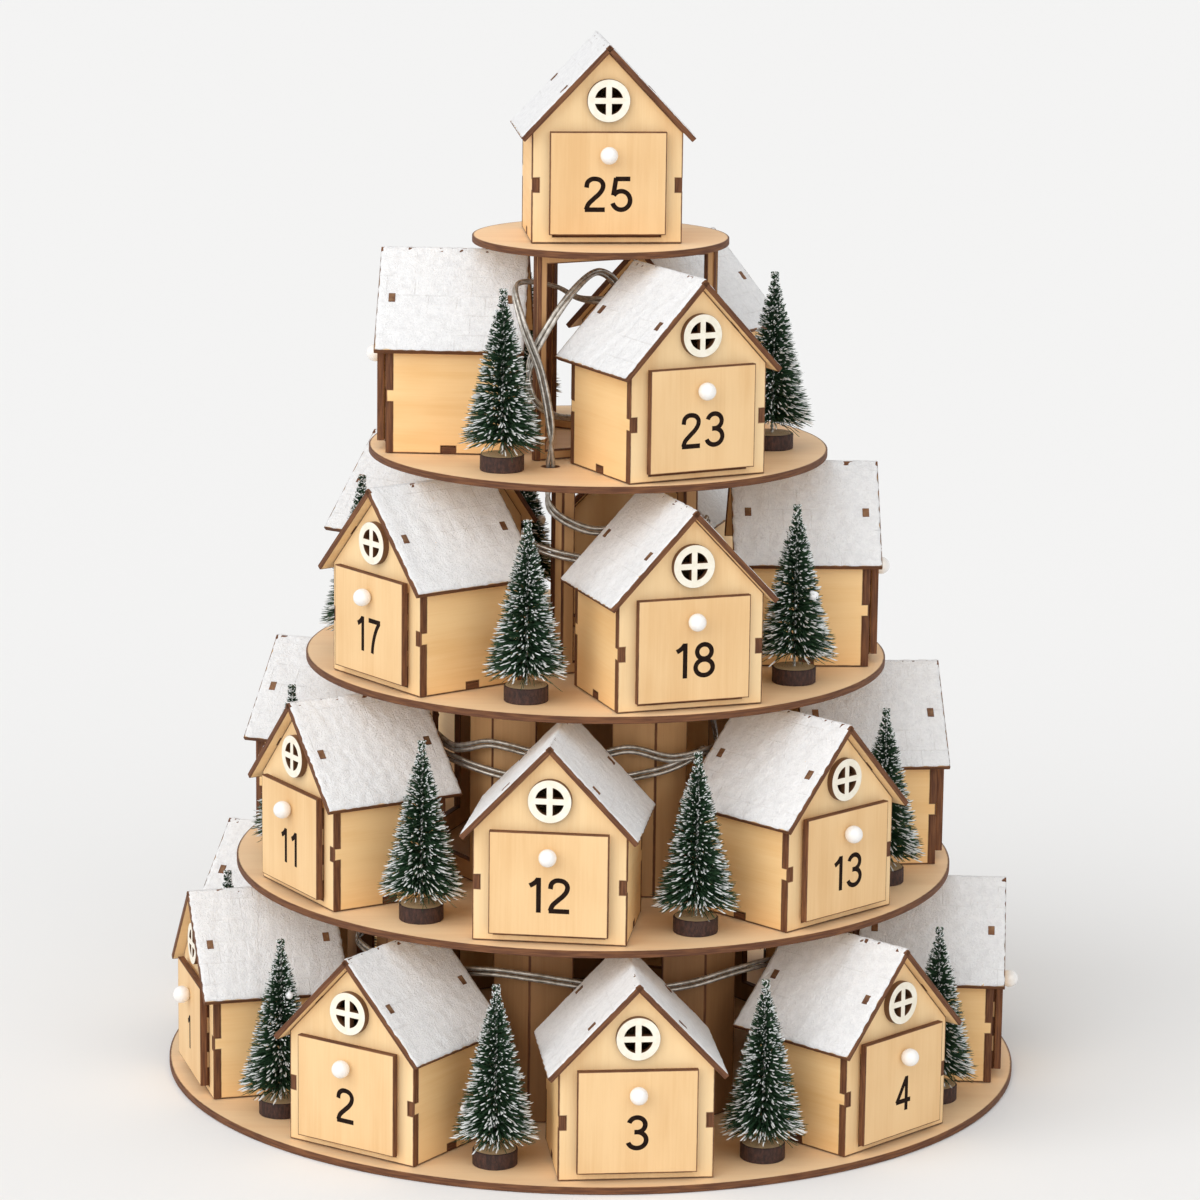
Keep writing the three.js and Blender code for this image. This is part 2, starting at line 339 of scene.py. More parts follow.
def turned_profile(profile: Array, steps: int, char: Array | float) -> Surface:
    """A profile of radius and height turned about the upright axis.

    Both ends lie on the axis, and their rings close to single points.

    Args:
        profile: rows of radius and height, from the lower end to the upper one.
        steps: facets round the axis.
        char: burn of each profile point, or one value.
    Returns:
        The closed surface.
    """
    inner = profile[1:-1]
    angle = np.arange(steps) * 2 * math.pi / steps
    ring = np.stack([np.cos(angle), np.sin(angle)], axis=1)
    rows = [np.column_stack([ring * r, np.full(steps, h)]) for r, h in inner]
    ends = np.array([[0, 0, profile[0, 1]], [0, 0, profile[-1, 1]]], float)
    burn = np.full(len(profile), char) if np.isscalar(char) else np.asarray(char)
    burn = np.concatenate([np.repeat(burn[1:-1], steps), burn[[0, -1]]])
    return capped(np.concatenate(rows), ends, steps, burn)


def ball(radius: float, rows: int, steps: int) -> Surface:
    """A ball about zero: a half circle of so many points turned about the upright axis."""
    profile = arc(radius, -math.pi / 2, math.pi / 2, rows - 1)
    profile[[0, -1], 0] = 0.0
    return turned_profile(profile, steps, 0.0)


def rings_round(side: Array, other: Array, sides: int) -> Array:
    """Unit circles in the planes of pairs of axes: one row of points for each pair."""
    angle = (np.arange(sides) * 2 * math.pi / sides)[None, :, None]
    return side[:, None] * np.cos(angle) + other[:, None] * np.sin(angle)


def tube(path: Array, radius: float, sides: int) -> Surface:
    """A round tube along a path, with closed ends.

    The section is carried along so that it never twists: at each step its first axis is
    the last one made square to the new direction.

    Args:
        path: points of the centre line.
        radius: of the tube.
        sides: of the section.
    Returns:
        The closed tube.
    """
    forward = np.gradient(path, axis=0)
    forward /= np.linalg.norm(forward, axis=1)[:, None]
    side = np.empty_like(path)
    guess = np.array([1.0, 0.0, 0.0]) if abs(forward[0, 0]) < 0.8 else np.array([0.0, 1.0, 0.0])
    for i, direction in enumerate(forward):
        guess = guess - direction * np.dot(guess, direction)
        guess /= np.linalg.norm(guess)
        side[i] = guess
    other = np.cross(forward, side)
    body = (path[:, None] + rings_round(side, other, sides) * radius).reshape(-1, 3)
    return capped(body, path[[0, -1]], sides, 0.0)


def smooth_path(knots: Array, per_span: int) -> Array:
    """A centripetal Catmull-Rom curve through knots.

    Each span is blended from its four neighbouring knots by repeated weighing, with the
    knots spaced by the square root of their distance.

    Args:
        knots: points that the curve passes.
        per_span: points worked out between two knots.
    Returns:
        Points along the curve, the last knot included.
    """
    ends = np.concatenate([[2 * knots[0] - knots[1]], knots, [2 * knots[-1] - knots[-2]]])
    gap = np.sqrt(np.linalg.norm(np.diff(ends, axis=0), axis=1))
    time = np.concatenate([[0], np.cumsum(gap)])
    spans = []
    for i in range(1, len(ends) - 2):
        t = np.linspace(time[i], time[i + 1], per_span, endpoint=False)[:, None]

        def weigh(p: Array, q: Array, a: int, b: int) -> Array:
            """Blends two rows of points between two knot times."""
            return ((time[b] - t) * p + (t - time[a]) * q) / (time[b] - time[a])

        one = weigh(ends[i - 1], ends[i], i - 1, i)
        two = weigh(ends[i], ends[i + 1], i, i + 1)
        three = weigh(ends[i + 1], ends[i + 2], i + 1, i + 2)
        spans.append(weigh(weigh(one, two, i - 1, i + 1), weigh(two, three, i, i + 2), i, i + 1))
    return np.concatenate(spans + [knots[-1:]])


def rolling(u: Array, v: Array, rng: np.random.Generator, length: float, waves: int = 9) -> Array:
    """A smooth random height from -1 to 1: a mean of sine waves in random directions."""
    total = np.zeros_like(u)
    for _ in range(waves):
        heading = rng.uniform(0, 2 * math.pi)
        pace = 2 * math.pi / (length * rng.uniform(0.6, 1.6))
        total += np.sin(pace * (u * math.cos(heading) + v * math.sin(heading)) + rng.uniform(0, 6.3))
    return total / math.sqrt(waves)


def operator(operation: str, swapped: bool = False) -> Callable[..., Value]:
    """Makes a method of Value that adds one Math node.

    Args:
        operation: what the node does.
        swapped: whether the value is the node's second number and not its first.
    Returns:
        The method; the other number stays zero where the node takes only one.
    """

    def method(value: Value, other: object = 0.0) -> Value:
        """Adds the node on the value and the other number."""
        first, second = (other, value) if swapped else (value, other)
        return value.graph.node("ShaderNodeMath", {"operation": operation}, {0: first, 1: second})

    return method


class Value:
    """A shader socket that can be used in Python sums."""

    def __init__(self, graph: Graph, socket: bpy.types.NodeSocket) -> None:
        """Keeps the socket and the graph it belongs to."""
        self.graph = graph
        self.socket = socket

    __add__ = __radd__ = operator("ADD")
    __sub__ = operator("SUBTRACT")
    __rsub__ = operator("SUBTRACT", swapped=True)
    __mul__ = __rmul__ = operator("MULTIPLY")
    __truediv__ = operator("DIVIDE")
    least = operator("MINIMUM")
    floor = operator("FLOOR")
    fraction = operator("FRACT")
    root = operator("SQRT")

    def ramp(self, low: float, high: float) -> Value:
        """Rises smoothly from 0 to 1 as the value goes from low to high."""
        settings = {"interpolation_type": "SMOOTHSTEP"}
        sockets = {"Value": self, "From Min": low, "From Max": high}
        return self.graph.node("ShaderNodeMapRange", settings, sockets)


class Graph:
    """The node tree of one material."""

    def __init__(self, name: str) -> None:
        """Starts an empty material with its output."""
        self.material = bpy.data.materials.new(name)
        self.material.use_nodes = True
        self.tree = self.material.node_tree
        self.tree.nodes.clear()
        self.output = self.tree.nodes.new("ShaderNodeOutputMaterial")

    def node(
        self,
        kind: str,
        settings: dict[str, object] | None = None,
        sockets: dict[object, object] | None = None,
        out: object = 0,
    ) -> Value:
        """Adds a node: its settings first, then its sockets.

        Args:
            kind: the node's type.
            settings: its properties.
            sockets: values or links by socket name or number.
            out: name or number of the output that is wanted.
        Returns:
            That output.
        """
        node = self.tree.nodes.new(kind)
        for key, value in (settings or {}).items():
            setattr(node, key, value)
        for key, value in (sockets or {}).items():
            if isinstance(value, Value):
                self.tree.links.new(value.socket, node.inputs[key])
            else:
                node.inputs[key].default_value = value
        return Value(self, node.outputs[out])

    def attribute(self, name: str, out: str = "Fac") -> Value:
        """Reads a value stored on the mesh."""
        settings = {"attribute_type": "GEOMETRY", "attribute_name": name}
        return self.node("ShaderNodeAttribute", settings, out=out)

    def noise(self, scale: tuple[float, float, float], detail: float, rough: float = 0.5) -> Value:
        """Cloudy noise at the board's own place, scaled along each of its axes."""
        spot = self.attribute("grain", "Vector")
        place = self.node("ShaderNodeVectorMath", {"operation": "MULTIPLY"}, {0: spot, 1: scale})
        sockets = {"Vector": place, "Scale": 1.0, "Detail": detail, "Roughness": rough}
        return self.node("ShaderNodeTexNoise", {}, sockets)

    def mix(self, first: object, second: object, share: object) -> Value:
        """Blends two colours, each a linear colour or a link."""
        colours = [c if isinstance(c, Value) else (*c, 1.0) for c in (first, second)]
        settings = {"data_type": "RGBA"}
        return self.node("ShaderNodeMix", settings, {0: share, 6: colours[0], 7: colours[1]}, out=2)

    def split(self, vector: Value) -> tuple[Value, Value, Value]:
        """The three parts of a vector."""
        node = self.tree.nodes.new("ShaderNodeSeparateXYZ")
        self.tree.links.new(vector.socket, node.inputs[0])
        return tuple(Value(self, socket) for socket in node.outputs)

    def bump(self, height: Value, distance: float, strength: float = 1.0) -> Value:
        """Turns a height into a surface normal; distance is in metres."""
        sockets = {"Strength": strength, "Distance": distance, "Height": height}
        return self.node("ShaderNodeBump", {}, sockets)

    def finish(self, **sockets: object) -> Finish:
        """Ends the graph in a Principled shader.

        Args:
            sockets: its inputs, with underscores for the spaces.
        Returns:
            The material.
        """
        named = {key.replace("_", " "): value for key, value in sockets.items()}
        for key, value in named.items():
            if isinstance(value, tuple) and len(value) == 3:
                named[key] = (*value, 1.0)
        shader = self.node("ShaderNodeBsdfPrincipled", {}, named)
        self.tree.links.new(shader.socket, self.output.inputs["Surface"])
        return self.material


@dataclass(frozen=True)
class PlyFinish:
    """Pale sanded plywood with brown scorched edges."""

    name: str
    pale: Colour
    deep: Colour
    burnt: Colour = (0.092, 0.032, 0.013)
    singed: Colour = (0.19, 0.075, 0.028)

    def build(self) -> Finish:
        """Streaks and pores along the grain, and burn where the mesh says the cut is."""
        g = Graph(self.name)
        streaks = g.noise((0.10, 0.009, 0.1), 4.0, 0.62)
        lines = g.noise((1.3, 0.022, 0.4), 3.0, 0.6)
        clouds = g.noise((0.03, 0.02, 0.03), 2.0)
        pores = g.noise((3.4, 0.16, 1.0), 2.0)
        tone = streaks * 0.50 + lines * 0.18 + clouds * 0.42
        wood = g.mix(self.pale, self.deep, tone.ramp(0.40, 0.80))
        wood = g.mix(wood, self.deep, pores.ramp(0.62, 0.80) * 0.25)
        char = g.attribute("char")
        layers = g.noise((0.09, 0.09, 1.5), 3.0)
        cut = g.mix(self.burnt, self.singed, layers.ramp(0.32, 0.72))
        patchy = g.noise((0.35, 0.35, 0.35), 2.0)
        rim = (char + patchy * 0.24 - 0.12).ramp(0.12, 0.62) * char.ramp(0.02, 0.20)
        colour = g.mix(wood, cut, rim)
        rough = 0.52 + lines * 0.12 + char * 0.12
        height = lines * 0.6 + pores * 0.4
        normal = g.bump(height, 0.00006)
        return g.finish(Base_Color=colour, Roughness=rough, Normal=normal, Specular_IOR_Level=0.35)


@dataclass(frozen=True)
class SnowFinish:
    """White frosted roof with faint staggered shingles cut into it."""

    course: float = 10.5
    shingle: float = 12.6
    groove: float = 0.34
    shaded: Colour = (0.83, 0.83, 0.84)
    white: Colour = (0.915, 0.915, 0.92)
    seam: Colour = (0.42, 0.375, 0.33)
    bare: Colour = (0.22, 0.12, 0.07)

    def build(self) -> Finish:
        """Grooves from the place along and down the roof, worn away in patches."""
        g = Graph("snow_white")
        along, down, _ = g.split(g.attribute("grain", "Vector"))
        row = down / self.course
        shift = (row.floor() * 0.5).fraction()
        column = along / self.shingle + shift
        far_row = row.fraction()
        off_row = far_row.least(1.0 - far_row) * self.course
        far_column = column.fraction()
        off_column = far_column.least(1.0 - far_column) * self.shingle
        groove = 1.0 - off_row.least(off_column).ramp(self.groove * 0.4, self.groove)
        worn = g.noise((0.05, 0.05, 0.05), 3.0).ramp(0.44, 0.60)
        crumbs = g.noise((1.1, 1.1, 1.1), 4.0, 0.7)
        fluff = g.noise((0.32, 0.32, 0.32), 3.0, 0.6)
        line = groove * worn * crumbs.ramp(0.38, 0.56)
        white = g.mix(self.shaded, self.white, (fluff * 0.5 + crumbs * 0.5).ramp(0.36, 0.60))
        lined = g.mix(white, self.seam, line * 0.17)
        speck = crumbs.ramp(0.735, 0.79) * worn
        colour = g.mix(lined, self.bare, speck * 0.8)
        height = fluff * 0.7 + crumbs * 0.8 - line * 0.25
        normal = g.bump(height, 0.0010, 1.0)
        return g.finish(Base_Color=colour, Roughness=0.86, Normal=normal, Specular_IOR_Level=0.25)


@dataclass(frozen=True)
class PaintFinish:
    """White painted wood whose cut walls stay brown."""

    paint: Colour = (0.83, 0.775, 0.64)
    bright: Colour = (0.89, 0.845, 0.73)
    cut: Colour = (0.13, 0.055, 0.022)

    def build(self) -> Finish:
        """Slightly cloudy paint, brown where the mesh says the cut is."""
        g = Graph("window_ivory")
        cloud = g.noise((0.3, 0.3, 0.3), 3.0)
        paint = g.mix(self.paint, self.bright, cloud.ramp(0.35, 0.65))
        char = g.attribute("char")
        colour = g.mix(paint, self.cut, char.ramp(0.55, 0.95))
        return g.finish(Base_Color=colour, Roughness=0.45 + cloud * 0.1, Normal=g.bump(cloud, 0.00008))


@dataclass(frozen=True)
class GlossFinish:
    """Smooth moulded or turned pieces with a faint unevenness."""

    name: str
    colour: Colour
    other: Colour
    roughness: float
    metallic: float = 0.0
    coat: float = 0.0
    specular: float = 0.5

    def build(self) -> Finish:
        """Two near colours in soft clouds under an even shine."""
        g = Graph(self.name)
        cloud = g.noise((0.5, 0.5, 0.5), 3.0)
        return g.finish(
            Base_Color=g.mix(self.colour, self.other, cloud.ramp(0.3, 0.7)),
            Roughness=self.roughness + cloud * 0.08,
            Metallic=self.metallic,
            Coat_Weight=self.coat,
            Specular_IOR_Level=self.specular,
            Normal=g.bump(cloud, 0.00004),
        )


@dataclass(frozen=True)
class BristleFinish:
    """Dyed green bristles with white frosted ends."""

    green: Colour = (0.012, 0.040, 0.018)
    bright: Colour = (0.034, 0.082, 0.036)
    frost: Colour = (0.84, 0.86, 0.86)

    def build(self) -> Finish:
        """Green by place, white where the mesh says the frost is."""
        g = Graph("bristle_green")
        cloud = g.noise((0.4, 0.4, 0.4), 2.0)
        green = g.mix(self.green, self.bright, cloud.ramp(0.35, 0.65))
        crust = g.noise((1.6, 1.6, 1.6), 2.0)
        white = (g.attribute("char") + crust * 0.3 - 0.15).ramp(0.40, 0.58)
        colour = g.mix(green, self.frost, white)
        return g.finish(Base_Color=colour, Roughness=0.62, Specular_IOR_Level=0.3)


@dataclass(frozen=True)
class SliceFinish:
    """A slice of branch: pale rings above, dark bark round it."""

    wood: Colour = (0.76, 0.53, 0.30)
    ring: Colour = (0.62, 0.39, 0.19)
    bark: Colour = (0.020, 0.008, 0.007)
    ridge: Colour = (0.070, 0.028, 0.020)

    def build(self) -> Finish:
        """Rings from the distance to the middle, bark where the mesh says the side is."""
        g = Graph("branch_slice")
        x, y, _ = g.split(g.attribute("grain", "Vector"))
        wobble = g.noise((0.25, 0.25, 0.25), 2.0)
        distance = (x * x + y * y).root()
        ring = (distance * 0.85 + wobble * 2.4).fraction()
        wood = g.mix(self.wood, self.ring, ring.ramp(0.55, 1.0))
        bark_noise = g.noise((0.8, 0.8, 0.35), 4.0, 0.65)
        bark = g.mix(self.bark, self.ridge, bark_noise.ramp(0.35, 0.7))
        colour = g.mix(wood, bark, g.attribute("char").ramp(0.3, 0.7))
        return g.finish(Base_Color=colour, Roughness=0.7, Normal=g.bump(bark_noise, 0.0003))


@dataclass(frozen=True)
class StageFinish:
    """The pale studio floor."""

    level: float = 0.875

    def build(self) -> Finish:
        """Even white that takes the shadow."""
        g = Graph("studio_floor")
        return g.finish(Base_Color=(self.level,) * 3, Roughness=0.9, Specular_IOR_Level=0.0)


def built(look: object) -> Finish:
    """A field whose material is built from a look when the palette is made."""
    return field(default_factory=look.build)


@dataclass
class Palette:
    """All finishes, each built once."""

    ply: Finish = built(PlyFinish("house_birch", (0.91, 0.67, 0.375), (0.80, 0.53, 0.26)))
    # wall: the house birch painted deeper and more orange, as painted shade on the side walls
    wall: Finish = built(PlyFinish("wall_birch_painted_shade", (0.95, 0.64, 0.31), (0.84, 0.50, 0.20)))
    floor: Finish = built(PlyFinish("floor_birch", (0.92, 0.65, 0.385), (0.82, 0.53, 0.29)))
    # core: the same birch painted dark brown, as painted shade inside the tower
    core: Finish = built(PlyFinish("core_birch_painted_shade", (0.62, 0.365, 0.165), (0.45, 0.24, 0.10)))
    # The base tier's core finish: birch painted very dark, as painted deep shade between the lowest
    # houses
    low_core: Finish = built(PlyFinish("low_core_birch", (0.34, 0.175, 0.070), (0.22, 0.105, 0.040)))
    drawer: Finish = built(PlyFinish("drawer_birch", (0.825, 0.565, 0.295), (0.71, 0.44, 0.20)))
    snow: Finish = built(SnowFinish())
    window: Finish = built(PaintFinish())
    knob: Finish = built(
        GlossFinish("knob_gloss", (0.86, 0.84, 0.82), (0.90, 0.89, 0.87), 0.16, coat=0.6)
    )
    number: Finish = built(
        GlossFinish("number_burn", (0.009, 0.004, 0.003), (0.020, 0.010, 0.006), 0.8, specular=0.1)
    )
    bristle: Finish = built(BristleFinish())
    flock: Finish = built(GlossFinish("flock_white", (0.84, 0.85, 0.86), (0.90, 0.90, 0.91), 0.8))
    stem: Finish = built(
        GlossFinish("stem_wire", (0.42, 0.42, 0.40), (0.60, 0.60, 0.58), 0.35, metallic=0.9)
    )
    slice: Finish = built(SliceFinish())
    string: Finish = built(
        GlossFinish("string_clear", (0.27, 0.24, 0.20), (0.50, 0.47, 0.43), 0.16, metallic=0.65)
    )
    case: Finish = built(GlossFinish("case_white", (0.80, 0.80, 0.78), (0.86, 0.86, 0.84), 0.4))


def add_piece(
    name: str,
    surface: Surface,
    material: Finish,
    body: str,
    smooth: bool = False,
) -> bpy.types.Object:
    """Turns a surface into an object that rides on a body of the frame.

    Args:
        name: of the piece.
        surface: in millimetres, in the tower's own axes.
        material: its finish.
        body: that it moves with.
        smooth: whether the faces are shaded as one curved surface.
    Returns:
        The object.
    """
    mesh = bpy.data.meshes.new(name)
    mesh.vertices.add(len(surface.points))
    mesh.vertices.foreach_set("co", (surface.points * MM).astype(np.float32).ravel())
    mesh.loops.add(len(surface.corners))
    mesh.loops.foreach_set("vertex_index", surface.corners.astype(np.int32))
    mesh.polygons.add(len(surface.sizes))
    starts = np.concatenate([[0], np.cumsum(surface.sizes)[:-1]]).astype(np.int32)
    mesh.polygons.foreach_set("loop_start", starts)
    mesh.polygons.foreach_set("use_smooth", np.full(len(surface.sizes), smooth))
    mesh.update(calc_edges=True)
    char = mesh.attributes.new("char", "FLOAT", "POINT")
    char.data.foreach_set("value", surface.char.astype(np.float32))
    grain = mesh.attributes.new("grain", "FLOAT_VECTOR", "POINT")
    grain.data.foreach_set("vector", surface.grain.astype(np.float32).ravel())
    mesh.materials.append(material)
    piece = bpy.data.objects.new(name, mesh)
    bpy.context.scene.collection.objects.link(piece)
    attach(piece, body)
    return piece


DIGIT_SPACE = 0.10


@dataclass(frozen=True)
class Digit:
    """A digit of unit height, drawn with the middle lines of its strokes.

    lines are straight strokes, bows are parts of ellipses given as middle, radii and the
    two end angles in degrees, and curves are smooth strokes through a few points.
    """

    lines: tuple = ()
    bows: tuple = ()
    curves: tuple = ()
    advance: float = 0.66 + DIGIT_SPACE

    def strokes(self) -> list[tuple[Array, bool]]:
        """The middle lines, each with whether it closes on itself."""
        found = [(np.array(line, float), False) for line in self.lines]
        for (x, y), (across, high), start, stop in self.bows:
            whole = abs(stop - start) >= 360
            angle = np.radians(np.linspace(start, stop, 37))
            path = np.column_stack([x + across * np.cos(angle), y + high * np.sin(angle)])
            found.append((path[:-1] if whole else path, whole))
        found += [(smooth_path(np.array(curve, float), 8), False) for curve in self.curves]
        return found


DIGITS = {
    "0": Digit(bows=(((0.33, 0.5), (0.27, 0.44), 0, 360),)),
    "1": Digit(
        lines=(((0.36, 0.0), (0.36, 1.0)),),
        curves=(((0.345, 0.965), (0.30, 0.90), (0.21, 0.82), (0.11, 0.765)),),
        advance=0.60,
    ),
    "2": Digit(
        lines=(((0.045, 0.06), (0.62, 0.06)),),
        curves=(
            ((0.09, 0.69), (0.12, 0.84), (0.22, 0.925), (0.34, 0.94), (0.48, 0.90), (0.56, 0.79))
            + ((0.55, 0.66), (0.46, 0.52), (0.30, 0.37), (0.15, 0.22), (0.085, 0.06)),
        ),
    ),
    "3": Digit(
        bows=(
            ((0.315, 0.73), (0.225, 0.21), 165, -80),
            ((0.315, 0.29), (0.255, 0.23), 80, -163),
        ),
        lines=(((0.24, 0.52), (0.36, 0.52)),),
    ),
    "4": Digit(
        lines=(
            ((0.46, 0.0), (0.46, 1.0)),
            ((0.03, 0.29), (0.64, 0.29)),
            ((0.05, 0.27), (0.45, 0.955)),
        )
    ),
    "5": Digit(
        lines=(((0.16, 0.94), (0.58, 0.94)), ((0.175, 0.97), (0.10, 0.47))),
        bows=(((0.325, 0.325), (0.255, 0.265), 148, -163),),
    ),
    "6": Digit(
        bows=(((0.345, 0.31), (0.245, 0.25), 0, 360),),
        curves=(
            ((0.565, 0.76), (0.50, 0.90), (0.36, 0.94), (0.20, 0.87), (0.11, 0.70))
            + ((0.085, 0.50), (0.10, 0.31)),
        ),
    ),
    "7": Digit(
        lines=(((0.05, 0.94), (0.62, 0.94)),),
        curves=(((0.575, 0.93), (0.44, 0.73), (0.33, 0.48), (0.26, 0.22), (0.235, 0.0)),),
    ),
    "8": Digit(
        bows=(((0.33, 0.735), (0.215, 0.205), 0, 360), ((0.33, 0.285), (0.255, 0.225), 0, 360)),
    ),
    "9": Digit(
        bows=(((0.315, 0.69), (0.245, 0.25), 0, 360),),
        curves=(
            ((0.095, 0.24), (0.16, 0.10), (0.30, 0.06), (0.46, 0.13), (0.55, 0.30))
            + ((0.575, 0.50), (0.56, 0.69)),
        ),
    ),
}


def ribbon(path: Array, width: float, height: float, closed: bool) -> Surface:
    """A flat stroke along a path, with square ends and a little height.

    Args:
        path: its middle line.
        width: across the stroke.
        height: of its upper face above zero.
        closed: whether the end joins the start.
    Returns:
        The closed solid.
    """
    if closed:
        ahead = np.roll(path, -1, axis=0) - np.roll(path, 1, axis=0)
    else:
        ahead = np.gradient(path, axis=0)
    ahead = ahead / np.linalg.norm(ahead, axis=1)[:, None]
    left = path + np.column_stack([-ahead[:, 1], ahead[:, 0]]) * width / 2
    right = 2 * path - left
    count = len(path)
    corners = ((right, 0.0), (right, height), (left, height), (left, 0.0))
    rims = [np.column_stack([rim, np.full(count, level)]) for rim, level in corners]
    here = np.arange(count if closed else count - 1)
    ahead_of = (here + 1) % count
    faces = []
    for side in range(4):
        this, other = side * count, (side + 1) % 4 * count
        faces.append(np.column_stack([here + this, ahead_of + this, ahead_of + other, here + other]))
    if not closed:
        rim_starts = np.arange(4) * count
        faces.append(np.array([rim_starts, (rim_starts + count - 1)[::-1]]))
    return Surface.of(np.concatenate(rims), faces, 1.0)


@dataclass
class HouseSizes:
    """Sizes of a house and its drawer."""

    width: float = 66.0
    depth: float = 55.5
    sheet: float = 3.0
    corner_height: float = 48.5
    slope: float = math.radians(46.5)
    eave_span: float = 38.7
    front_overhang: float = 4.9
    back_overhang: float = 5.6
    tab_low: float = 22.6
    tab_high: float = 28.4
    floor_tab: float = 6.2
    slot_play: float = 0.3
    tab_short: float = 0.25
    floor_tab_short: float = 0.15
    floor_tab_play: float = 0.1
    side_slack: float = 0.06
    roof_tab_width: float = 4.4
    roof_tab_depth: float = 2.9
    roof_slot_width: float = 4.8
    roof_slot_depth: float = 3.4
    ridge_fingers: int = 12
    ridge_sunk: float = 0.5
    ridge_bite: float = 3.15
    box_fingers: int = 5
    window_height: float = 62.5
    window_radius: float = 9.35
    glazed_radius: float = 6.1
    glazing_bar: float = 2.7
    peephole: float = 7.2
    box_width: float = 46.0
    box_height: float = 40.0
    box_length: float = 50.0
    slide_gap: float = 0.5
    seat_gap: float = 0.3
    plate_width: float = 51.0
    plate_height: float = 45.0
    plate_lift: float = 4.1
    plate_stand_off: float = 1.4
    knob_radius: float = 3.9
    knob_height: float = 39.2
    knob_out: float = 3.3
    digit_height: float = 15.3
    digit_stroke: float = 2.05
    digit_middle: float = 22.0
    snow: float = 0.6

    @property
    def half(self) -> float:
        """Half the width."""
        return self.width / 2

    @property
    def ridge_under(self) -> float:
        """Height of the gable's tip."""
        return self.corner_height + self.half * math.tan(self.slope)

    @property
    def ridge_top(self) -> float:
        """Height of the roof's ridge."""
        return self.ridge_under + self.sheet / math.cos(self.slope)

    @property
    def eave_top(self) -> float:
        """Height of the roof's upper edge at the eaves."""
        return self.ridge_top - self.eave_span * math.tan(self.slope)

    @property
    def roof_length(self) -> float:
        """Length of a roof board along the ridge."""
        return self.depth + self.front_overhang + self.back_overhang

    @property
    def roof_fall(self) -> float:
        """Length of a roof board down the slope."""
        return self.eave_span / math.cos(self.slope)


@dataclass(frozen=True)
class SnowCrust:
    """Measures of the snow on a roof board.

    A wave is the length over which a random height rolls, and a swing is how far it goes.
    """

    columns: int = 64
    rows: int = 54
    fray: float = 0.30
    fray_swing: float = 0.22
    fray_span: float = 60.0
    fray_wave: float = 5.0
    fray_most: float = 0.8
    eave_gap: float = 0.15
    ridge_gap: float = 0.2
    height: float = 0.36
    swell: float = 0.13
    swell_wave: float = 9.0
    crumb: float = 0.08
    crumb_wave: float = 2.2
    least: float = 0.08
    rim_rows: float = 1.6
    bare_wave: float = 3.0
    bare_waves: int = 12
    bare_above: float = 2.15
    bare_at_ridge: float = 0.9
    bare_fade: float = 3.0
    bare_dip: float = 0.05
    sunk: float = 0.12


